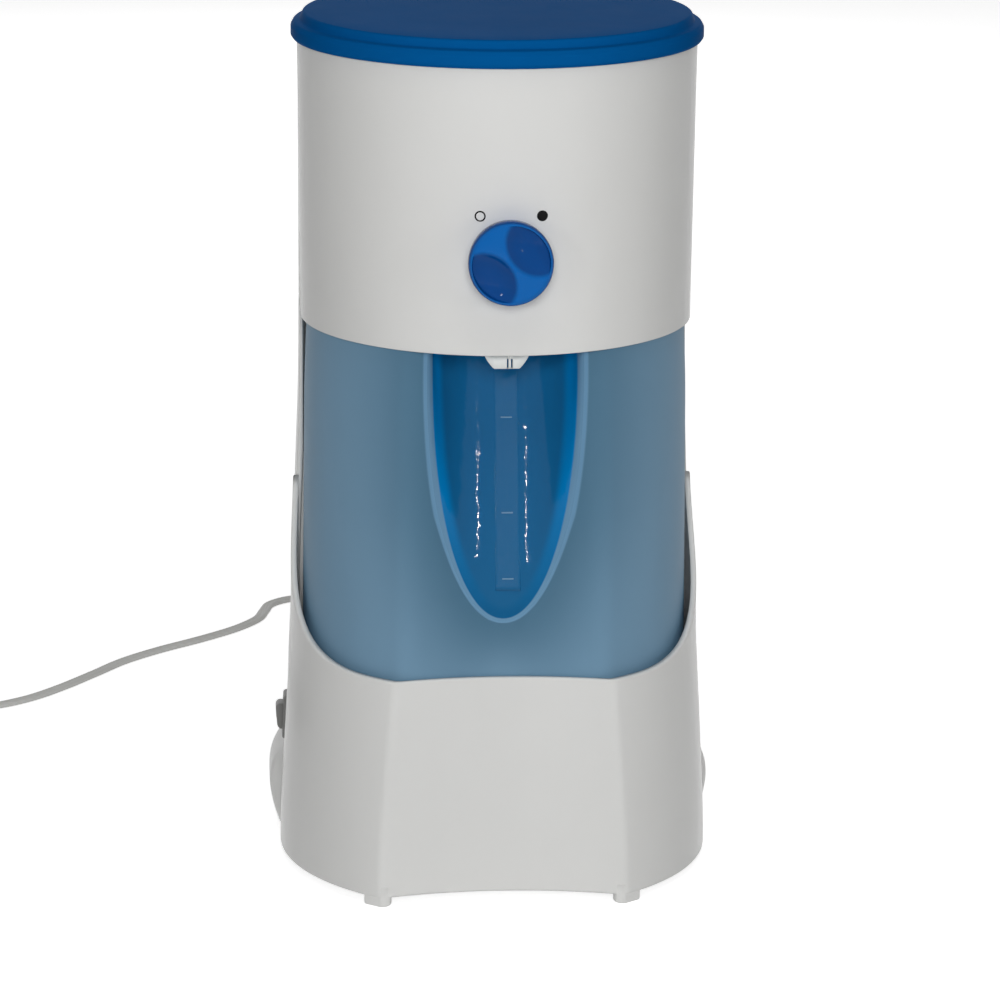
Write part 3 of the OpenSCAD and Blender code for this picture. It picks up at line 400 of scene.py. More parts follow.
def moulded(name, colour, rough, spread=0.04, grain=700.0, strength=0.12, edge=0.0005,
            shine=0.5, stretch=None):
    """Moulded plastic: faint flow marks in colour and gloss, a fine grain, rounded edges."""
    material, tree, shader = node_material(name)
    gloss = object_noise(tree, 60.0, 3.0)
    set_inputs(tree, shader, {
        "Base Color": clouded(tree, np.array(colour), 1 - spread, 1 + spread, 14.0, 4.0,
                              (1, 1, 0.35)),
        "Roughness": vary(tree, gloss, rough * 0.96, rough * 1.04),
        "Specular IOR Level": shine,
        "Normal": grained(tree, grain, strength, 0.00004, edge, stretch)})
    return material


def brushed(name, colour, rough, stretch=(1, 40, 40)):
    """Metal with fine lines along one direction."""
    material, tree, shader = node_material(name)
    lines, detail = 90.0, 4.0
    set_inputs(tree, shader, {
        "Base Color": clouded(tree, np.array(colour), 0.86, 1.1, lines, detail, stretch),
        "Roughness": vary(tree, object_noise(tree, lines, detail, stretch), rough * 0.75,
                          rough * 1.25),
        "Metallic": 1.0,
        "Normal": grained(tree, 200.0, 0.15, 0.00003, 0.0003, stretch)})
    return material


PLASTIC_IOR = 1.49
BLUE_CLOUDS = (18.0, 3.0, (1, 1, 0.2))


def clear_blue(name, colour, rough, see_through, spread, grain, strength, shine):
    """Tinted plastic that lets some light through: grain and gloss set how frosted it is."""
    material, tree, shader = node_material(name)
    gloss = object_noise(tree, 40.0, 3.0)
    set_inputs(tree, shader, {
        "Base Color": clouded(tree, np.array(colour), 1 - spread, 1 + spread, *BLUE_CLOUDS),
        "Roughness": vary(tree, gloss, rough * 0.85, rough * 1.15),
        "IOR": PLASTIC_IOR, "Specular IOR Level": shine, "Transmission Weight": see_through,
        "Normal": grained(tree, grain, strength, 0.00005)})
    return material


# Width of the pale lip round the pitcher's recess, in millimetres
LIP_WIDTH = 4.6


def pitcher_painted_light_finish(name, frosted, lip, side, floor):
    """One tinted plastic for the pitcher, steered by the attribute from_edge: millimetres inside
    the recess's edge. Frosted outside, with painted shade that darkens the frosted blue towards
    the recess for the dark inside seen through the wall, a paler lip just outside the edge, and
    polished within, where the side walls are painted a brighter blue than the floor: painted
    light for the stronger blue that they show at a slant."""
    material, tree, shader = node_material(name)
    place = add_node(tree, "ShaderNodeAttribute", {}, "Fac", attribute_name="from_edge")

    def step(start, end):
        return ramp(tree, place, start, end, form="SMOOTHSTEP")

    frosted = np.array(frosted)
    plain = clouded(tree, frosted, 0.96, 1.04, *BLUE_CLOUDS)
    # painted shade: near the recess the frosted blue is painted darker, for the dark inside seen
    # through the wall
    near = clouded(tree, frosted, (0.41, 0.53, 0.57), (0.45, 0.56, 0.60), *BLUE_CLOUDS)
    outside = mixed(tree, step(-34.0, -4.0), plain, near)
    outside = mixed(tree, step(-LIP_WIDTH, 1 - LIP_WIDTH), outside, lip)
    # painted light: the side walls are painted half as bright near the recess's tip, where they
    # turn towards the light, and brighter higher up, where they face away from it
    axes = tree.nodes.new("ShaderNodeSeparateXYZ")
    set_inputs(tree, axes, {"Vector": object_place(tree)})
    walls = mixed(tree, ramp(tree, axes.outputs["Z"], 0.135, 0.19), np.array(side) * 0.5, side)
    inside = mixed(tree, step(2.4, 7.0), walls, floor)
    polished = step(-LIP_WIDTH, -0.2)
    # shallow ripples of the polished wall break up its reflections
    ripples = {"Height": object_noise(tree, 130.0, 2.0), "Distance": 0.0008,
               "Strength": mixed(tree, step(-1.0, 1.5), 0.0, 0.3, "FLOAT"),
               "Normal": grained(tree, 1600.0, mixed(tree, polished, 0.3, 0.0, "FLOAT"), 0.00005)}
    set_inputs(tree, shader, {
        "Base Color": mixed(tree, step(-0.4, 0.4), outside, inside),
        "Roughness": mixed(tree, polished, 0.46, 0.06, "FLOAT"),
        "IOR": PLASTIC_IOR, "Specular IOR Level": 0.07, "Transmission Weight": 0.1,
        "Normal": add_node(tree, "ShaderNodeBump", ripples, "Normal")})
    return material


def knob_painted_light_and_shade_finish(name, light, dark):
    """Glossy blue with painted light and shade: a paler blue than the lid's on the ridge, and a
    deeper blue of painted shade where the attribute hollow marks the hollows and the rim.
    """
    material, tree, shader = node_material(name)
    hollow = add_node(tree, "ShaderNodeAttribute", {}, "Fac", attribute_name="hollow")
    set_inputs(tree, shader, {
        "Base Color": mixed(tree, hollow, light, dark),
        "Roughness": vary(tree, object_noise(tree, 60.0, 3.0), 0.07, 0.085),
        "Specular IOR Level": 0.09, "Normal": grained(tree, 800.0, 0.04, 0.00004)})
    return material


MATERIALS = {}


def make_materials(colours, edge):
    """Every material of the object, by a maker's plain names. A moulding's numbers are roughness,
    spread of its colour, scale and strength of its grain and radius of its shaded edges."""
    white, blue, grey = (np.array(v) for v in (colours.housing, colours.blue, colours.switch))
    MATERIALS.update({
        "housing": moulded("white_gloss_moulding", white, 0.25, 0.02, 900.0, 0.05, 0.0, 0.2),
        "rear": moulded("white_rear_moulding", white * 0.98, 0.32, 0.02, 900.0, 0.06, 0.0),
        "inner": moulded("white_inner_moulding", white * 0.96, 0.42, 0.03, 700.0, 0.1, edge),
        "drum": moulded("white_drum_moulding", white, 0.24, 0.02, 900.0, 0.04, edge, 0.15),
        "lid": moulded("blue_lid_moulding", blue, 0.36, 0.05, 500.0, 0.04, 0.0, 0.001),
        # painted light and shade: the knob's paler ridge and deeper hollows are lit and shaded
        # copies of the lid's blue
        "knob": knob_painted_light_and_shade_finish("blue_knob_painted_light_and_shade", blue * (1.5, 1.35, 1.45),
                            blue * (0.6, 0.68, 0.85)),
        "frosted": clear_blue("frosted_blue_wall", colours.frosted, 0.46, 0.12, 0.04, 1600.0,
                              0.3, 0.3),
        "pitcher": pitcher_painted_light_finish("blue_pitcher_wall_painted_light_and_shade", colours.frosted, colours.lip,
                                  colours.side, colours.polished),
        "level": clear_blue("blue_level_mark", colours.lip, 0.2, 0.1, 0.03, 1200.0, 0.1, 0.4),
        "tank": moulded("milky_tank_plastic", (0.78, 0.83, 0.85), 0.38, 0.03, 500.0, 0.1, edge),
        "spout": moulded("white_spout_plastic", (0.76, 0.78, 0.77), 0.3, 0.02, 700.0, 0.06,
                         0.0004),
        "valve": moulded("ivory_valve_plastic", (0.77, 0.73, 0.60), 0.33, 0.03, 700.0, 0.08,
                         0.0003),
        "heater": brushed("heater_aluminium", (0.60, 0.60, 0.61), 0.35),
        "steel": brushed("bright_steel", (0.56, 0.56, 0.57), 0.28),
        "thermostat": brushed("thermostat_cap", (0.52, 0.52, 0.53), 0.3, (30, 30, 1)),
        "fuse": moulded("glass_fibre_sleeve", (0.80, 0.78, 0.70), 0.7, 0.08, 900.0, 0.5, 0.0002,
                        stretch=(1, 6, 1)),
        "hose": moulded("silicone_hose", (0.72, 0.72, 0.68), 0.5, 0.03, 300.0, 0.15, 0.0003),
        "frame": moulded("switch_frame_plastic", grey * 1.1, 0.4, 0.04, 900.0, 0.15, 0.0004),
        "switch": moulded("rocker_plastic", grey, 0.36, 0.04, 900.0, 0.1, 0.0006),
        "cord": moulded("cord_jacket", (0.64, 0.64, 0.62), 0.42, 0.03, 900.0, 0.12, 0.0),
        "tie": moulded("tie_plastic", (0.02, 0.02, 0.021), 0.45, 0.05, 600.0, 0.1, 0.0003),
        "mark": moulded("printed_mark", (0.006, 0.006, 0.006), 0.5, 0.03, 900.0, 0.05, 0.0, 0.1),
    })


NODE_FINISH = {
    "housing": ["front_shell"], "rear": ["rear_housing", "tower_cap"],
    "inner": ["pitcher_well", "bottom_cover"], "drum": ["drum_shell", "dock_cover"],
    "lid": ["lid"], "knob": ["knob"], "frosted": ["pitcher"], "tank": ["reservoir_tank"],
    "spout": ["outlet_nozzle", "filter_basket", "shower_arm", "shower_head", "valve_guide",
              "riser_tube"],
    "valve": ["valve_stem", "knob_shaft", "check_valve_body"],
    "heater": ["heating_tube", "heater_clamps"],
    "steel": ["heating_element", "bottom_screws", "hose_clips", "knob_clip", "hinge_pin",
              "plug_blades"],
    "thermostat": ["thermostat"], "fuse": ["thermal_fuse"],
    "hose": ["cold_hose", "hot_hose", "check_ball"], "frame": ["switch_bezel"],
    "switch": ["rocker", "switch_body"],
    "cord": ["cord", "cord_coil", "strain_relief", "plug_body"], "tie": ["cord_tie"],
}


class TEAMAKER_OT_finish_nodes(bpy.types.Operator):
    """Gives every CAD node its finish."""

    bl_idname = "teamaker.finish_nodes"
    bl_label = "Finish CAD nodes"

    def execute(self, context):
        make_materials(context.scene.tea_maker_colours, context.scene.tea_maker_sizes.edge)
        for finish, names in NODE_FINISH.items():
            for name in names:
                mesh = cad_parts[name].data
                mesh.materials.clear()
                mesh.materials.append(MATERIALS[finish])
        return {"FINISHED"}


def put_in_scene(thing, x, y, z, place):
    """Turns a camera or lamp to three axes, puts it at a place in metres and links it."""
    matrix = np.eye(4)
    matrix[:3] = np.stack([x, y, z, place], axis=-1)
    thing.matrix_world = Matrix(matrix.tolist())
    bpy.context.scene.collection.objects.link(thing)


class TEAMAKER_OT_camera(bpy.types.Operator):
    """Camera fitted to the rims of lid, drum, pitcher and base."""

    bl_idname = "teamaker.camera"
    bl_label = "Camera"

    def execute(self, context):
        azimuth, distance, height = math.radians(-3.72), 1951.4, 688.5
        pitch, roll, yaw = (math.radians(v) for v in (14.94, 0.41, -0.08))
        focal_pixels, frame_pixels = 4390, 1000
        turn = azimuth + yaw
        back = np.array([math.sin(turn) * math.cos(pitch), -math.cos(turn) * math.cos(pitch),
                         math.sin(pitch)])
        right = np.array([math.cos(turn), math.sin(turn), 0])
        up = np.cross(back, right)
        across = math.cos(roll) * right + math.sin(roll) * up
        over = -math.sin(roll) * right + math.cos(roll) * up
        place = from_axis(distance * math.sin(azimuth), -distance * math.cos(azimuth), height)
        data = bpy.data.cameras.new("view")
        data.sensor_width = 36.0
        data.lens = focal_pixels / frame_pixels * data.sensor_width
        data.clip_start, data.clip_end = 0.05, 60
        camera = bpy.data.objects.new("view", data)
        put_in_scene(camera, across, over, back, place * MM)
        context.scene.camera = camera
        return {"FINISHED"}


def add_lamp(name, place, size, power, mirrored):
    """Round lamp at a place in metres, turned to the object; mirrored says if gloss shows it."""
    data = bpy.data.lights.new(name, "AREA")
    data.shape, data.size, data.energy = "DISK", size, power
    lamp = bpy.data.objects.new(name, data)
    lamp.visible_glossy = mirrored
    z = np.array(place) - (0, 0, 0.2)
    z /= np.linalg.norm(z)
    x = np.cross((0, 0, 1), z)
    x /= np.linalg.norm(x)
    put_in_scene(lamp, x, np.cross(z, x), z, place)


def seen_rays(tree):
    """Output that is 1 for rays from the camera and for those mirrored or let through."""
    path = tree.nodes.new("ShaderNodeLightPath").outputs
    mirrored = add_node(tree, "ShaderNodeMath", {0: path["Is Glossy Ray"],
                                                 1: path["Is Transmission Ray"]},
                        operation="MAXIMUM")
    return add_node(tree, "ShaderNodeMath", {0: path["Is Camera Ray"], 1: mirrored},
                    operation="MAXIMUM")


class TEAMAKER_OT_stage(bpy.types.Operator):
    """Pale floor, white surroundings and soft lamps."""

    bl_idname = "teamaker.stage"
    bl_label = "Stage"

    def execute(self, context):
        scene = context.scene
        scene.view_settings.view_transform = "Standard"
        half = 3000.0
        corners = np.array([[-1, -1, 0], [1, -1, 0], [1, 1, 0], [-1, 1, 0]]) * half
        floor = make_object("floor", corners, [[[0, 1, 2, 3]]], smooth=False)
        material, tree, shader = node_material("pale_floor")
        # eye and gloss see the floor lighter than it lights the object; its shadow stays
        dust = vary(tree, object_noise(tree, 3.0, 3.0), 0, 1)
        set_inputs(tree, shader, {
            "Base Color": mixed(tree, dust, (0.80, 0.80, 0.80), (0.83, 0.83, 0.83)),
            "Roughness": 0.7, "Emission Color": (1, 1, 1, 1),
            "Emission Strength": ramp(tree, seen_rays(tree), 0, 1, 0.0, 0.74)})
        floor.data.materials.append(material)
        world = bpy.data.worlds.new("surroundings")
        scene.world = world
        world.use_nodes = True
        tree = world.node_tree
        set_inputs(tree, tree.nodes["Background"], {
            "Color": (1, 1, 1, 1), "Strength": ramp(tree, seen_rays(tree), 0, 1, 0.06, 1.0)})
        for name, place, size, power, mirrored in (
                ("front_lamp", (-0.15, -2.35, 0.95), 0.8, 28, False),
                ("top_lamp", (0.1, -0.9, 2.1), 1.2, 8, False),
                ("back_lamp", (0.0, 2.3, 1.1), 1.2, 9, False),
                ("right_spark", (1.49, -1.60, 0.61), 0.06, 2.4, True),
                ("left_spark", (-1.20, -1.82, 0.65), 0.06, 2.4, True)):
            add_lamp(name, place, size, power, mirrored)
        return {"FINISHED"}


# Pitcher sizes in millimetres
PITCHER_WALL = 2.2
PITCHER_FACET_Y = 71.3
FACET_R = 200.0
FACET_BLEND = 5.0
RECESS_R = 32.0
RECESS_TOP_Z = 251.2
RECESS_TILT = math.radians(15.5)
RIB_X = 2.1
FAR_OUT = -40.0


def pitcher_radius(z):
    """Round wall of the pitcher: two cones joined softly at three quarters of its height."""
    return spline(z, [94, 110, 160, 205, 224, 240, 263.2],
                  [88.3, 88.15, 87.65, 87.2, 86.95, 86.4, 85.4])


def facet_line(x, y, facet_y):
    """Distance behind the hollow facet, a circle of the facet's radius in front of it."""
    return np.hypot(x, y + facet_y + FACET_R) - FACET_R


def recess_middle(z):
    """Distance of the tilted half-pipe's axis behind the pitcher's axis at height z."""
    return -PITCHER_FACET_Y + (z - RECESS_TOP_Z) * math.tan(RECESS_TILT)


def pitcher_depth(x, y, z, edge):
    """How far a point lies inside the pitcher's outer face: the soft minimum of the depths behind
    the round wall, the facet and the half-pipe; edge is the radius round the half-pipe."""
    wall = smin(pitcher_radius(z) - np.hypot(x, y), facet_line(x, y, PITCHER_FACET_Y), FACET_BLEND)
    across = (y - recess_middle(z)) * math.cos(RECESS_TILT)
    return smin(wall, np.hypot(x, across) - RECESS_R, edge)


def from_edge(x, z):
    """Distance inside the recess's edge in millimetres, seen from the front: a function that is
    zero where half-pipe and facet meet, over the length of its slope."""
    widest, least_slope = 150, 1e-3
    middle = recess_middle(z)
    facet = np.sqrt(FACET_R**2 - np.minimum(np.abs(x), widest) ** 2) - PITCHER_FACET_Y - FACET_R
    shrink = math.cos(RECESS_TILT) ** 2
    value = RECESS_R**2 - x**2 - shrink * (facet - middle) ** 2
    slope_x = 2 * x - 2 * shrink * (facet - middle) * x / (facet + PITCHER_FACET_Y + FACET_R)
    slope_z = 2 * shrink * (facet - middle) * math.tan(RECESS_TILT)
    slope = np.maximum(np.hypot(slope_x, slope_z), least_slope)
    return np.clip(value / slope, FAR_OUT, -FAR_OUT)


def share(count):
    """Count shares from 0 towards 1, without the 1, as a row."""
    return (np.arange(count) / count)[None, :]


def pitcher_contour(z, edge, inset):
    """Right half of the pitcher's level section at each height, inset behind its outer face: along
    the half-pipe, the facet and the round wall to the back. The stations' directions are evened
    out by averaging neighbours, and bisection along them finds where pitcher_depth is the inset."""
    corner_reach, off_middle, reach = 5.0, 1.5, 9.0
    corner_halvings, rounds, halvings = 40, 40, 34
    z, inset = z[:, None], inset[:, None]
    facet_r, pipe_r = FACET_R + inset, RECESS_R + inset
    yc, semi = recess_middle(z), pipe_r / math.cos(RECESS_TILT)
    centre, r = -(PITCHER_FACET_Y + FACET_R), pitcher_radius(z) - inset

    def facet_at(x):
        return centre + np.sqrt(facet_r**2 - x**2)

    # corner of half-pipe and facet by halving over the angle, kept off the middle below the recess
    low, high = np.zeros_like(z), np.full_like(z, 2.0)
    for _ in range(corner_halvings):
        a = (low + high) / 2
        behind = yc + semi * np.cos(a) > facet_at(pipe_r * np.sin(a))
        low, high = np.where(behind, a, low), np.where(behind, high, a)
    a_edge = np.hypot(low, off_middle / pipe_r)
    x_edge = pipe_r * np.sin(a_edge)
    split = a_edge - np.minimum(corner_reach / pipe_r, 0.5 * a_edge)
    # corner of facet and round wall, from the two circles
    y_crease = (r**2 - facet_r**2 + centre**2) / (2 * centre)
    x_crease = np.sqrt(r**2 - y_crease**2)
    sections = []
    for a in (split * share(20), split + (a_edge - split) * share(12)):
        x = pipe_r * np.sin(a)
        y = np.maximum(yc + semi * np.cos(a), facet_at(x))
        sections.append((x, y, -np.sin(a), -np.cos(a)))
    past = x_edge + corner_reach
    for x in (x_edge + corner_reach * share(12), past + (x_crease - past) * share(30)):
        y = facet_at(x)
        sections.append((x, y, -x / facet_r, -(y - centre) / facet_r))
    a = np.arctan2(x_crease, -y_crease)
    a = a + (np.pi - a) * np.linspace(0, 1, 80)[None, :] ** 1.4
    sections.append((r * np.sin(a), -r * np.cos(a), np.sin(a), -np.cos(a)))
    px, py, nx, ny = (np.concatenate([s[k] for s in sections], axis=1) for k in range(4))
    for _ in range(rounds):
        nx = np.concatenate([-nx[:, 1:2], nx, -nx[:, -2:-1]], axis=1)
        ny = np.concatenate([ny[:, 1:2], ny, ny[:, -2:-1]], axis=1)
        nx, ny = ((n[:, :-2] + 2 * n[:, 1:-1] + n[:, 2:]) / 4 for n in (nx, ny))
    size = np.hypot(nx, ny)
    nx, ny = nx / size, ny / size
    low, high = np.full(px.shape, -reach), np.full(px.shape, reach)
    for _ in range(halvings):
        t = (low + high) / 2
        inside = pitcher_depth(px + nx * t, py + ny * t, z, edge) > inset
        low, high = np.where(inside, t, low), np.where(inside, high, t)
    return px + nx * low, py + ny * low


class TEAMAKER_OT_pitcher(bpy.types.Operator):
    """Pitcher: frosted wall with a hollow facet, a polished half-pipe recess and its rib."""

    bl_idname = "teamaker.pitcher"
    bl_label = "Pitcher"

    def execute(self, context):
        edge = context.scene.tea_maker_sizes.recess_edge / MM
        floor = PITCHER_Z + PITCHER_WALL

        def rings(levels, inset):
            """Whole level sections: the right half's stations and their mirror image."""
            x, y = pitcher_contour(levels, edge, inset)
            x = np.concatenate([x, -x[:, -2:0:-1]], axis=1)
            return from_axis(x, np.concatenate([y, y[:, -2:0:-1]], axis=1), levels[:, None])

        # up the outer face, then over the rim and down the inner one, with both ends drawn in
        levels = np.concatenate([PITCHER_Z + np.array([0, 0.25, 0.8, 1.6, 2.6, 3.8]),
                                 runs(99, (128, 14), (150, 34), (262.2, 50)),
                                 [262.7, 263.0, 263.2]])
        inset = np.concatenate([[3.6, 2.4, 1.5, 0.8, 0.3, 0.05], np.zeros(len(levels) - 9),
                                [0.1, 0.35, 0.8]])
        outer = rings(levels, inset)
        levels = np.concatenate([[263.2, 262.8, 262.0], np.linspace(260, 150, 40),
                                 np.linspace(149, 128, 24), np.linspace(126, 101, 8),
                                 [99.5, 98.2, 97.2, 96.5, floor]])
        inset = np.concatenate([[1.4, 1.9], np.full(len(levels) - 7, PITCHER_WALL),
                                PITCHER_WALL + np.array([0.1, 0.6, 1.4, 2.4, 3.8])])
        inner = rings(levels, inset)
        shrink = np.linspace(0, 1, 9)[:-1, None, None]
        foot_middle, floor_middle = from_axis(0, 0, PITCHER_Z), from_axis(0, 0, floor)
        bottom = foot_middle + (outer[0] - foot_middle) * shrink
        top = floor_middle + (inner[-1] - floor_middle) * shrink[::-1]
        grid = np.concatenate([bottom, outer, inner, top])
        # the finish follows the distance from the recess's edge, on the front half only
        x, y, z = grid.reshape(-1, 3).T
        margin, narrow_z, narrow_run, narrowing = 12, 180, 50, 1.1
        pipe_back = recess_middle(z) + RECESS_R + margin
        inside = np.where(y - AXIS_Y < pipe_back, from_edge(x, z), FAR_OUT)
        # the lip narrows to under half of its width at the recess's tip
        narrow = 1 + narrowing * np.clip((narrow_z - z) / narrow_run, 0, 1)
        outside = np.maximum(inside * narrow, inside - LIP_WIDTH * (1 - 1 / narrow))
        piece = grid_piece("pitcher_wall", grid, False,
                           from_edge=np.where(inside < 0, outside, inside))
        finish_piece(piece, "pitcher", "pitcher", "pitcher_plastic", "pitcher")
        self.rib()
        self.handle()
        return {"FINISHED"}

    def rib(self):
        """Rib down the half-pipe with level marks: its section is a low rounded bar that follows
        the pipe's back, x across and along the tilted axis."""
        polished, sunk = 30, 0.7
        z = np.linspace(PITCHER_Z + 50, PITCHER_Z + 154, 60)[:, None]
        x = RIB_X + 1.12 * np.array([-5.0, -4.7, -4.0, -2.0, 0, 2.0, 4.0, 4.7, 5.0])
        lift = np.array([-0.1, 0.12, 0.32, 0.38, 0.4, 0.38, 0.32, 0.12, -0.1])
        semi = RECESS_R / math.cos(RECESS_TILT)
        back = recess_middle(z) + semi * np.sqrt(1 - (x / RECESS_R) ** 2)
        loops = np.concatenate([from_axis(x, back - lift, z),
                                from_axis(x, back + sunk, z)[:, ::-1]], axis=1)
        rib = sweep_loops("level_rib", loops)
        mark_points(rib, "from_edge", np.full(len(rib.data.vertices), polished))
        finish_piece(rib, "pitcher", "pitcher", "pitcher_plastic")
        half_w, half_h = 2.6, 0.35
        for k, below in enumerate((37.4, 78.5, 107.0)):
            level = DRUM_Z - below
            back = recess_middle(level) + semi
            mark = box_solid(f"level_mark_{k + 1}", (RIB_X - half_w, back - 0.95, level - half_h),
                             (RIB_X + half_w, back - 0.3, level + half_h))
            soft_edges(mark, 0.25, 2)
            finish_piece(mark, "level", "pitcher", "pitcher_plastic")

    def handle(self):
        """Handle: a rounded bar carried along a C-shaped path behind the pitcher. Its section is
        a squared ellipse, cos and sin to the power of 0.55."""
        low, top, far, bend = 119.0, 233.0, 112.7, 15
        half_w, half_t, corner, count = 11.0, 5.0, 0.55, 90
        path = rounded([(84.8, low), (far, low), (far, top), (84.2, top)], [0, bend, bend, 0], 10)
        steps = np.linalg.norm(np.diff(path, axis=0), axis=1)
        along = np.concatenate([[0], np.cumsum(steps)])
        s = np.linspace(0, along[-1], count)
        y, z = np.interp(s, along, path[:, 0]), np.interp(s, along, path[:, 1])
        ty, tz = np.gradient(y, s), np.gradient(z, s)
        size = np.hypot(ty, tz)
        ny, nz = (tz / size)[:, None], (-ty / size)[:, None]
        cx, cn = (half * np.sign(turn) * np.abs(turn) ** corner for half, turn in
                  ((half_w, np.cos(around(40))), (half_t, np.sin(around(40)))))
        loops = from_axis(cx, y[:, None] + ny * cn, z[:, None] + nz * cn)
        finish_piece(sweep_loops("pitcher_handle", loops), "frosted", "pitcher", "pitcher_plastic")


# Front shell sizes in millimetres
SHELL_WALL = 2.6
SHELL_FACET_Y = 74.5
SHELL_BLEND = 1.6


def front_profile(z):
    """Radius of the front shell at height z: a smooth curve, widest at its foot."""
    return spline(z, [0, 11, 31, 50, 70, 90, 105, 140, 200],
                  [99.1, 99.0, 98.3, 97.2, 96.1, 94.9, 94.1, 93.6, 93.4])


def swept_rim(y):
    """Height of the front shell's rim at y behind the axis: level in front, then up an arc."""
    radius = 90.0
    reach = np.clip(y - (TOWER_EDGE_Y - radius), 0, radius)
    return RIM_Z + radius - np.sqrt(np.maximum(radius**2 - reach**2, 0))


class TEAMAKER_OT_front_shell(bpy.types.Operator):
    """Front shell of the base: a round wall with a hollow facet, a swept rim and two feet."""

    bl_idname = "teamaker.front_shell"
    bl_label = "Front shell"

    def execute(self, context):
        low, foot_round, rim_round, open_air = 5.2, 1.2, 1.1, 400.0
        # stations from the seam at one side round the front to the other, dense at the creases
        half = runs(0, (0.42, 34), (0.62, 26), (1.0, 40))
        stations = np.concatenate([-half[:0:-1], half])
        rise = runs(0, (0.04, 6), (0.94, 34), (1.0, 8))

        def section(u, z, inset):
            """Point of the level section at share u of the half turn from the front to the seam:
            the nearer one of the round wall and the facet's circle, joined softly."""
            r = front_profile(z)
            phi = u * (math.pi / 2 + np.arcsin(SEAM_Y / r))
            centre = SHELL_FACET_Y + FACET_R
            root = FACET_R**2 - (centre * np.sin(phi)) ** 2
            facet = np.where((root > 0) & (np.cos(phi) > 0),
                             centre * np.cos(phi) - np.sqrt(np.maximum(root, 0)), open_air)
            reach = smin(r, facet, SHELL_BLEND) - inset
            return from_axis(reach * np.sin(phi), -reach * np.cos(phi), z)

        # the rim's height by rounds of the place that it has there
        top = np.full_like(stations, RIM_Z)
        for _ in range(12):
            top = swept_rim(section(stations, top, 0.0)[..., 1] - AXIS_Y)

        def face(inset, tuck):
            z = low + (top[:, None] - tuck - low) * rise
            return section(stations[:, None], z, inset)

        # rounded foot, outer face, rounded rim, then the inner face back down
        parts = [section(stations, np.full_like(stations, low - foot_round * np.cos(a)),
                         foot_round * (1 - np.sin(a)))[:, None]
                 for a in np.linspace(0, math.pi / 2, 5)[:-1]]
        parts.append(face(0.0, rim_round))
        parts += [section(stations, top - rim_round * (1 - np.sin(a)),
                          rim_round * (1 - np.cos(a)))[:, None]
                  for a in np.linspace(0, math.pi / 2, 6)[1:]]
        parts.append(face(SHELL_WALL, 0.0)[:, ::-1])
        piece = sweep_loops("base_front", np.concatenate(parts, axis=1))
        finish_piece(piece, "housing", "base", "housing", "front_shell")
        # feet: round posts, pushed back where they would stand out of the shell's face
        foot_x, foot_y, foot_r, foot_top, inside = 56.43, -77.5, 6.2, 9, 0.3
        profile = rounded([(0, 0), (foot_r, 0), (foot_r, foot_top), (0, foot_top)], [0, 1.0, 0, 0])
        a = around(72)
        for side, name in ((-1, "left"), (1, "right")):
            x = side * foot_x + np.outer(np.cos(a), profile[:, 0])
            y = foot_y + np.outer(np.sin(a), profile[:, 0])
            r = np.hypot(x, y)
            out = smin(front_profile(0.0) - inside - r, facet_line(x, y, SHELL_FACET_Y) - inside,
                       SHELL_BLEND)
            pull = 1 + np.minimum(out, 0) / r
            foot = grid_piece(f"front_foot_{name}", from_axis(x * pull, y * pull, profile[:, 1]))
            finish_piece(foot, "housing", "base", "housing")
        return {"FINISHED"}


class TEAMAKER_OT_lid(bpy.types.Operator):
    """Lid: a turned disc with a rolled rim, a step up to its middle, a lip and a hinge knuckle."""

    bl_idname = "teamaker.lid"
    bl_label = "Lid"

    def execute(self, context):
        top, low, lip_low = DRUM_TOP + 8.0, DRUM_TOP + 0.2, DRUM_TOP - 3.0
        lip_r, lip_inner = 86.5, 84.9
        outside = [(0, top + 4.0), (LID_R - 5.4, top + 4.0), (LID_R - 4.2, top + 0.2),
                   (LID_R - 1.2, top - 0.2), (LID_R, top - 2.4), (LID_R, DRUM_TOP + 1.6),
                   (LID_R - 1.0, low)]
        inside = [(LID_R - 2.2, low), (LID_R - 2.4, top - 3.4), (lip_r + 0.8, top - 2.4),
                  (lip_r, top - 2.4), (lip_r, lip_low), (lip_inner, lip_low),
                  (lip_inner, top - 2.2), (lip_inner - 0.7, top + 1.8), (0, top + 1.8)]
        radii = [0, 1.6, 1.2, 1.4, 1.5, 1.0, 0.5, 0.5, 1.0, 0.6, 0.6, 0.4, 0.4, 0.8, 1.0, 0]
        profile = rounded(outside + inside, radii)
        # rings of points between the step and the middle keep the shading even
        spacing, fine = 12, []
        for a, b in zip(profile, np.roll(profile, -1, axis=0)):
            count = max(1, int(abs(a[0] - b[0]) // spacing))
            fine.extend(a + (b - a) * k / count for k in range(count))
        lid = lathe("lid_disc", fine, 256)
        gap_x, half_gap = 19.5, 4.8
        for x in (-gap_x, gap_x):
            cut_away(lid, box_solid("gap", (x - half_gap, LID_R - 3.4, DRUM_TOP - 1),
                                    (x + half_gap, LID_R + 20, DRUM_TOP + 30)))
        finish_piece(lid, "lid", "lid", "lid_plastic", "lid")
        # knuckle: a bored barrel on a short web, carried along the hinge's line
        r, web_end, bore_r = 4.0, -10.6, 1.65
        web = rounded([(web_end, 0.1), (web_end, 3.9), (0, r), (r, r), (r, -r), (-r, -r),
                       (-r, 0.1)], [0, 0, 3.9, 3.9, 3.9, 3.9, 0.5], 10)
        x = np.array([-13.6, -13.3, 0, 13.3, 13.6])[:, None]
        grow = np.array([0.94, 1, 1, 1, 0.94])[:, None]
        loops = from_axis(x, HINGE_Y + web[:, 0] * grow, HINGE_Z + web[:, 1] * grow)
        knuckle = sweep_loops("lid_knuckle", loops)
        a = around(48)
        cut_away(knuckle, sweep_loops("bore", from_axis(
            np.array([[-15.0], [15.0]]), HINGE_Y + bore_r * np.cos(a),
            HINGE_Z + bore_r * np.sin(a))))
        finish_piece(knuckle, "lid", "lid", "lid_plastic")
        return {"FINISHED"}


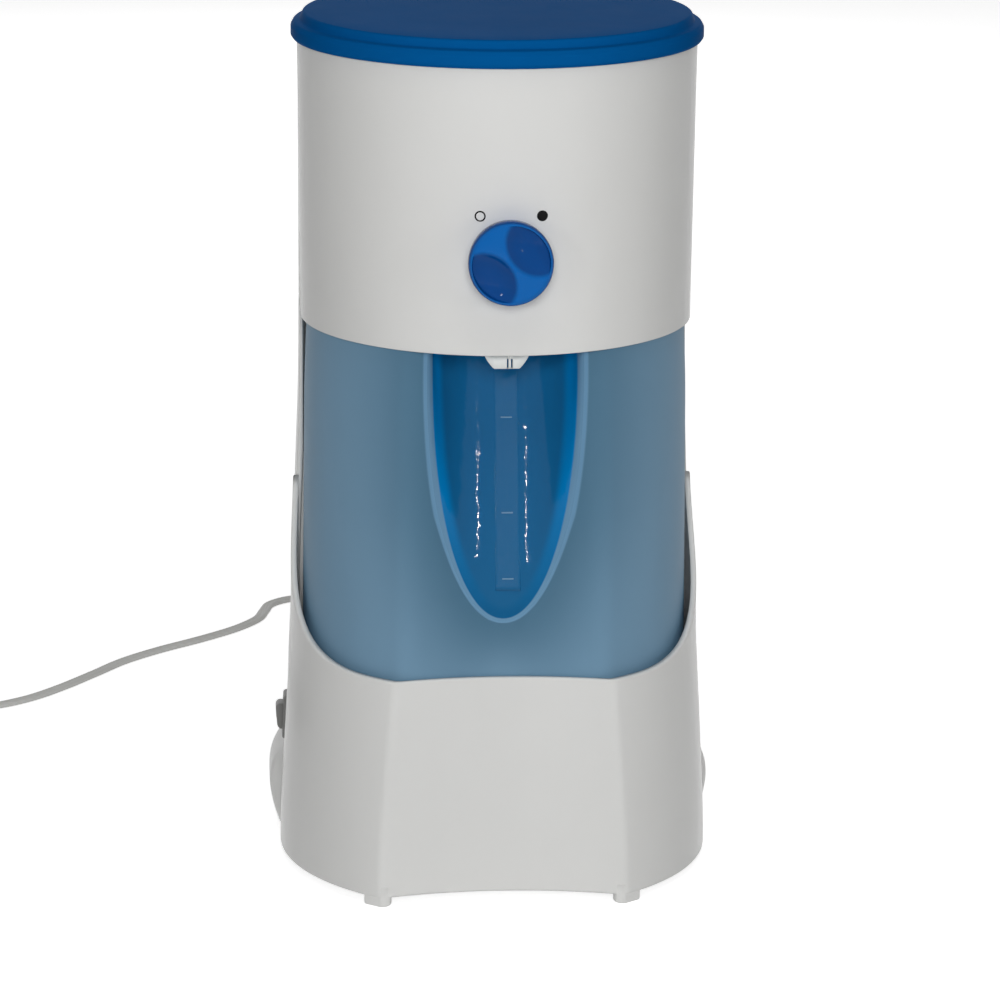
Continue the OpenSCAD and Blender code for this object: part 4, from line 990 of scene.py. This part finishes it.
class TEAMAKER_OT_knob(bpy.types.Operator):
    """Knob: a round button whose face is hollowed on both sides of a bow-tie grip."""

    bl_idname = "teamaker.knob"
    bl_label = "Knob"

    def execute(self, context):
        radius, reach, rest, back = 18.5, 17.0, math.radians(128), 89.42
        dome, round_r, bore_r, bore_deep, open_air = 0.9, 2.6, 3.02, 8.0, 400.0
        rho, phi = runs(0, (0.9, 46), (1.0, 16)), around(160)
        r, a = np.meshgrid(rho * radius, phi, indexing="ij")
        u, v = r * np.cos(a), r * np.sin(a)
        # face height: a dome with a rounded edge, less two spherical hollows at +v and -v
        edge = np.maximum(r - (radius - round_r), 0)
        plain = reach - dome * (r / radius) ** 2
        plain = plain + (np.sqrt(np.maximum(round_r**2 - edge**2, 0)) - round_r)
        face, squeeze = plain, 0.86
        aside, above, ball = (radius * part for part in (0.76, 0.62, 0.95))
        kept = 14.0 * ease((r / radius - 0.9) / 0.08)
        for side in (-1, 1):
            away = np.hypot(u * squeeze, v - side * aside)
            hollow = reach + above - np.sqrt(np.maximum(ball**2 - away**2, 0))
            face = smin(face, np.where(away < ball, hollow, open_air) + kept, 1.0)
        face[-1] = np.minimum(face[-1], reach - round_r)
        # the side draws in towards the drum, and a bore for the shaft closes the back
        wall = face[-1] * np.linspace(1, 0, 8)[1:, None]
        narrow = radius - 2.2 * (1 - np.clip(wall / 11.0, 0, 1)) ** 1.6
        flat = np.zeros((1, len(phi)))
        grid_r = np.concatenate([r, narrow, flat + bore_r, flat + bore_r, flat])
        height = np.concatenate([face, wall, flat, flat + bore_deep, flat + bore_deep])
        spin = phi + rest
        grid = from_axis(grid_r * np.cos(spin), -(back + height), KNOB_Z + grid_r * np.sin(spin))
        # painted shade: the deeper blue lies in the hollows and as a dark outline round the side
        depth = np.clip((grid_r / radius - 0.955) / 0.025, 0, 1.3)
        depth[:len(rho)] = np.maximum(depth[:len(rho)], np.clip((plain - face) / 1.2, 0, 1))
        knob = grid_piece("knob_button", grid, False, hollow=depth)
        finish_piece(knob, "knob", "knob", "lid_plastic", "knob")
        return {"FINISHED"}


class TEAMAKER_OT_marks(bpy.types.Operator):
    """Plain marks over the knob: an open ring for weak and a filled dot for strong."""

    bl_idname = "teamaker.marks"
    bl_label = "Strength marks"

    def execute(self, context):
        marks_z, outer, soft, thick, sunk = 318.2, 2.4, 0.05, 0.06, -0.3
        a = around(56)
        for name, mark_x, inner, step, start in (("weak_ring", -12.6, 1.75, soft, 0.0),
                                                 ("strong_dot", 14.4, 0.0, outer / 2, thick)):
            radii = [inner, inner + step, outer - soft, outer]
            r = np.array(radii + radii[::-1])[:, None]
            lift = np.array([start, thick, thick, 0.0] + [sunk] * 4)[:, None]
            x, z = mark_x + r * np.cos(a), marks_z + r * np.sin(a)
            share_up = (z - DRUM_Z) / (DRUM_TOP - DRUM_Z)
            reach = DRUM_R + (DRUM_TOP_R - DRUM_R) * share_up
            piece = grid_piece(name, from_axis(x, -np.sqrt(reach**2 - x**2) - lift, z))
            finish_piece(piece, "mark", "drum", "valve_plastic")
        return {"FINISHED"}


REAR_HEIGHTS = [5.0, 14, 26, 34, 39, 43, 46, 50, 56, 66, 80, 101.5, 121.5, 147.5, 183.5, 213.5,
                252.6]
REAR_RADII = [99.4, 102.1, 103.6, 102.4, 99.8, 97.2, 96.0, 95.4, 95.0, 94.6, 94.2, 93.3, 92.4,
              91.6, 90.2, 89.1, 88.6]
# Rear housing sizes in millimetres
REAR_LOW, REAR_TOP = 5.0, 252.6
REAR_WALL = 2.6
SIDE_START = SEAM_Y + 0.1
SIDE_RUN = TOWER_SHIFT - SIDE_START
END_SHARE = REAR_WALL / SIDE_RUN

# Middle of the switch and the slope of the side there
SWITCH_PLACE = (-94.1, 31.0, 56.0)
SWITCH_TILT = math.radians(2.5)


def rear_path(radius, station):
    """Point of the rear form's outline: station 0 to 1 runs up the left side, 1 to 2 round the
    back half circle and 2 to 3 down the right side."""
    turn = np.clip(station - 1, 0, 1) * math.pi
    ahead = np.maximum(np.maximum(1 - station, station - 2), 0)
    return -radius * np.cos(turn), TOWER_SHIFT - SIDE_RUN * ahead + radius * np.sin(turn)


class TEAMAKER_OT_rear_housing(bpy.types.Operator):
    """Rear housing: a smooth profile carried along both sides and round the back."""

    bl_idname = "teamaker.rear_housing"
    bl_label = "Rear housing"

    def execute(self, context):
        z = runs(5.6, (60, 46), (120, 20), (252.0, 30))
        radius = spline(z, REAR_HEIGHTS, REAR_RADII)
        first, last = radius[0], radius[-1]
        outer = np.concatenate([[[first - 0.9, REAR_LOW], [first - 0.3, 5.15]],
                                np.stack([radius, z], axis=-1),
                                [[last - 0.2, 252.5], [last - 0.6, REAR_TOP]]])
        inner = np.concatenate([[[last - REAR_WALL, REAR_TOP]],
                                np.stack([radius - REAR_WALL, z], axis=-1)[::-1],
                                [[first - REAR_WALL, REAR_LOW]]])
        # stations of one side from the seam, with its end wall, then round the back to the other
        seam_round, swell_end = 0.03, 0.4
        side = np.concatenate([[0, seam_round, 0.06, END_SHARE, END_SHARE + 0.002],
                               np.linspace(0.1, 1, 14)])
        stations = np.concatenate([side[:-1], np.linspace(1, 2, 121)[:-1], 3 - side[::-1]])
        profile_r, level = np.concatenate([outer, inner]).T
        s, r = np.meshgrid(stations, profile_r, indexing="ij")
        from_seam = np.minimum(s, 3 - s)
        outside = np.arange(len(level)) < len(outer)
        # the bulge ends at the seam in a wall that reaches in behind the front shell
        bulge_top = 90
        behind = np.sqrt((front_profile(level) - SHELL_WALL) ** 2 - SEAM_Y**2)
        ends = (from_seam <= END_SHARE) & ~outside
        r = np.where(ends & (level < bulge_top), np.minimum(r, behind), r)
        # a small round where the outer face meets the seam
        near = np.clip(1 - from_seam / seam_round, 0, 1)
        r = r - np.where(outside, 0.5 * near**2, 0)
        # the low bulge swells out from the front shell's face over the first part of each side
        shell = np.sqrt(front_profile(level) ** 2 - SEAM_Y**2) + 0.3
        proud = np.maximum(spline(level, REAR_HEIGHTS, REAR_RADII) - shell, 0)
        r = r - proud * (1 - ease(from_seam / swell_end))
        piece = sweep_loops("base_rear", from_axis(*rear_path(r, s), level))
        well_low, well_top = 90.6, 300
        cut_away(piece, lathe("well", [(0, well_low), (WELL_R, well_low), (WELL_R, well_top),
                                       (0, well_top)]))
        slot = np.array([20, 6.7, 9.75])
        cutter = box_solid("slot", -slot, slot)
        x, y, z = SWITCH_PLACE
        for matrix in (Matrix.Translation((0, -AXIS_Y * MM, 0)),
                       Matrix.Rotation(SWITCH_TILT, 4, "Y"),
                       Matrix.Translation((x * MM, (y + AXIS_Y) * MM, z * MM))):
            cutter.data.transform(matrix)
        cut_away(piece, cutter)
        # hole for the cord in the back
        a, hole_r, hole_z = around(64), 4.8, 20
        cut_away(piece, sweep_loops("relief_hole", from_axis(
            hole_r * np.cos(a), np.array([[130.0], [170.0]]), hole_z + hole_r * np.sin(a))))
        finish_piece(piece, "rear", "base", "rear_plastic", "rear_housing")
        return {"FINISHED"}


def at_switch(x, y, z):
    """Points given from the switch's middle, x inwards, turned by its tilt and put in the side."""
    c, s = math.cos(SWITCH_TILT), math.sin(SWITCH_TILT)
    x0, y0, z0 = SWITCH_PLACE
    return from_axis(x * c + z * s + x0, y + y0, z * c - x * s + z0)


class TEAMAKER_OT_switch(bpy.types.Operator):
    """Rocker switch: a rounded frame, a ring carried round a rounded rectangle, and its rocker."""

    bl_idname = "teamaker.switch"
    bl_label = "Rocker switch"

    def execute(self, context):
        # frame: each point of the profile is a depth x and a distance in from the outline
        profile = [(-1.0, 0), (-1.8, 0), (-2.6, 0.25), (-3.1, 0.8), (-3.2, 1.5), (-3.1, 2.3),
                   (-2.7, 2.6), (8.8, 2.6), (8.8, 1.2), (-1.0, 1.2)]
        half_w, half_h, corner, least_corner = 7.7, 10.75, 3.2, 0.8
        rings = []
        for x, inset in profile:
            y, z = half_w - inset, half_h - inset
            ring = rounded([(-y, -z), (y, -z), (y, z), (-y, z)],
                           [max(corner - inset, least_corner)] * 4, 8)
            rings.append(at_switch(x, ring[:, 0], ring[:, 1]))
        piece = grid_piece("switch_frame", np.array(rings))
        finish_piece(piece, "frame", "base", "switch_frame", "switch_bezel")
        # rocker: its side view carried across, drawn in at both ends
        side = rounded([(5, -5), (5, 5), (0, 6.35), (-6.9, 6.2), (-6.3, 0), (-5.4, -6.2),
                        (0, -6.35)], [0, 0, 1.5, 2.2, 6.0, 2.2, 1.5], 7)
        across = np.array([-4.7, -4.62, -4.35, -3.9, -3.2, 0, 3.2, 3.9, 4.35, 4.62, 4.7])[:, None]
        draw = np.array([0.86, 0.92, 0.965, 0.99, 1, 1, 1, 0.99, 0.965, 0.92, 0.86])[:, None]
        loops = at_switch(side[:, 0] * draw, across, side[:, 1] * draw)
        finish_piece(sweep_loops("switch_rocker", loops), "switch", "rocker", "switch_dark",
                     "rocker")
        return {"FINISHED"}


class TEAMAKER_OT_drip_lip(bpy.types.Operator):
    """Drip lip under the drum's front: a shallow boat-shaped tongue with two slots."""

    bl_idname = "teamaker.drip_lip"
    bl_label = "Drip lip"

    def execute(self, context):
        half_w, front_r, soft, thick, half_slot = 9.6, 80.0, 0.4, 2.6, 0.35
        x = np.linspace(-half_w, half_w, 33)
        deepest, end_x, rise, bow, least = 7.9, 10.2, 4.5, 0.6, 0.3
        deep = deepest * np.clip((end_x - np.abs(x)) / rise, 0, 1) ** bow + least
        front = -np.sqrt(front_r**2 - x**2)
        top = DRUM_Z + 0.4
        low = top - deep
        section = ((0, top), (0, low + soft), (0.5, low), (thick - 0.4, low),
                   (thick, low + soft), (thick, top))
        lip = sweep_loops("drip_lip", np.stack([from_axis(x, front + y, z) for y, z in section],
                                               axis=1))
        for slot in (0.4, 2.2):
            cut_away(lip, box_solid("slot", (slot - half_slot, -84, DRUM_Z - 7.6),
                                    (slot + half_slot, -74, DRUM_Z - 3.2)))
        finish_piece(lip, "spout", "drum", "drum_plastic")
        return {"FINISHED"}


CORD_ROUTE = [
    (0, 156, 20), (0, 166, 19.2), (-1, 180, 14.5), (-3, 196, 7.5), (-7, 214, 2.6), (-13, 238, 1.7),
    (-22, 268, 1.7), (-32, 302, 1.7), (-41, 334, 1.7), (-46.6, 351, 1.7), (-48, 366, 1.7),
    (-51.6, 379.5, 1.7), (-61.5, 389.4, 1.7), (-75, 393, 1.7), (-88.5, 389.4, 1.7),
    (-98.4, 379.5, 1.7), (-102, 366, 1.7), (-106, 351, 1.7), (-118, 333, 1.7), (-137, 314, 1.7),
    (-159, 295, 1.7), (-178, 275, 1.7), (-193, 253, 1.7), (-210, 229, 1.7), (-226, 211, 1.7),
    (-244, 199, 1.7), (-264, 194.2, 1.7),
]
CORD_TAIL = [(-322.3, 150, 5.2), (-321.8, 142, 5.9), (-320.6, 136, 6.7), (-320, 130.5, 7.0)]
COIL_MIDDLE = (-286.0, 158.0)


def smooth_path(points, step):
    """Smooth cubic curve through the points, resampled at even steps."""
    p = np.array(points, float)
    p = np.concatenate([[2 * p[0] - p[1]], p, [2 * p[-1] - p[-2]]])
    t = np.linspace(0, 1, 17)[:-1, None]
    out = []
    for a, b, c, d in zip(p[:-3], p[1:-2], p[2:-1], p[3:]):
        out.append(0.5 * (2 * b + (c - a) * t + (2 * a - 5 * b + 4 * c - d) * t**2
                          + (3 * b - a - 3 * c + d) * t**3))
    out = np.concatenate([*out, p[-2:-1]])
    along = np.concatenate([[0], np.cumsum(np.linalg.norm(np.diff(out, axis=0), axis=1))])
    s = np.linspace(0, along[-1], int(along[-1] / step) + 1)
    return np.stack([np.interp(s, along, out[:, k]) for k in range(3)], axis=-1)


def coil_path():
    """Coil of three and a quarter turns: outer low, inner low, inner high, then outer high,
    changing place by smooth steps of radius and height over part of a turn."""
    deg = np.arange(90, 1261, 3.0)

    def step(start, end):
        return ease((deg - start) / (end - start))

    outer_r, lay_z, width, thick = 36.3, 1.7, 6.5, 3.3
    radius = outer_r - width * step(370, 446) + width * step(1090, 1166)
    height = lay_z + thick * step(728, 806)
    a = np.radians(deg)
    x, y = COIL_MIDDLE
    return np.stack([x + radius * np.cos(a), y + radius * np.sin(a), height], axis=-1)


class TEAMAKER_OT_cord(bpy.types.Operator):
    """Cord: a flat two-core section carried along its route, its coil and its tail."""

    bl_idname = "teamaker.cord"
    bl_label = "Cord"

    def execute(self, context):
        half_w = context.scene.tea_maker_sizes.cord_width / MM / 2
        path = smooth_path([*CORD_ROUTE, *coil_path(), *CORD_TAIL], 1.6)
        forward = np.gradient(path, axis=0)
        forward /= np.linalg.norm(forward, axis=1)[:, None]
        side = np.cross(forward, (0, 0, 1.0))
        side /= np.linalg.norm(side, axis=1)[:, None]
        up = np.cross(side, forward)
        # section: two round cores side by side with a shallow groove between
        half_t, groove_w = 1.6, 0.75
        a = around(28)
        across = half_w * np.cos(a)
        lobe = half_t * np.abs(np.sin(a)) ** 0.75 * np.sign(np.sin(a))
        lobe = lobe * (1 - 0.5 * np.exp(-((across / groove_w) ** 2)))
        loops = path[:, None] + side[:, None] * across[:, None] + up[:, None] * lobe[:, None]
        cord = sweep_loops("power_cord", loops)
        finish_piece(cord, "cord", "base", "cord_jacket", "cord", "cord_coil")
        return {"FINISHED"}


OPERATORS = (TEAMAKER_OT_camera, TEAMAKER_OT_stage, TEAMAKER_OT_finish_nodes,
             TEAMAKER_OT_pitcher, TEAMAKER_OT_front_shell, TEAMAKER_OT_rear_housing,
             TEAMAKER_OT_switch, TEAMAKER_OT_lid, TEAMAKER_OT_knob, TEAMAKER_OT_marks,
             TEAMAKER_OT_drip_lip, TEAMAKER_OT_cord)


class TEAMAKER_PT_panel(bpy.types.Panel):
    """Lists the pieces' operators with their sizes and colours."""

    bl_idname = "TEAMAKER_PT_panel"
    bl_label = "Tea maker"
    bl_space_type = "VIEW_3D"
    bl_region_type = "UI"
    bl_category = "Tea maker"

    def draw(self, context):
        for group in (context.scene.tea_maker_sizes, context.scene.tea_maker_colours):
            for key in group.__annotations__:
                self.layout.prop(group, key)
        for operator in OPERATORS:
            self.layout.operator(operator.bl_idname)


CLASSES = (TeaMakerColours, TeaMakerSizes, *OPERATORS, TEAMAKER_PT_panel)


def register():
    for cls in CLASSES:
        bpy.utils.register_class(cls)
    bpy.types.Scene.tea_maker_colours = bpy.props.PointerProperty(type=TeaMakerColours)
    bpy.types.Scene.tea_maker_sizes = bpy.props.PointerProperty(type=TeaMakerSizes)


def unregister():
    del bpy.types.Scene.tea_maker_colours
    del bpy.types.Scene.tea_maker_sizes
    for cls in reversed(CLASSES):
        bpy.utils.unregister_class(cls)


def main():
    register()
    for operator in OPERATORS:
        group, name = operator.bl_idname.split(".")
        result = getattr(getattr(bpy.ops, group), name)()
        if result != {"FINISHED"}:
            raise RuntimeError(f"{operator.bl_label} did not finish")


if __name__ == "__main__":
    main()
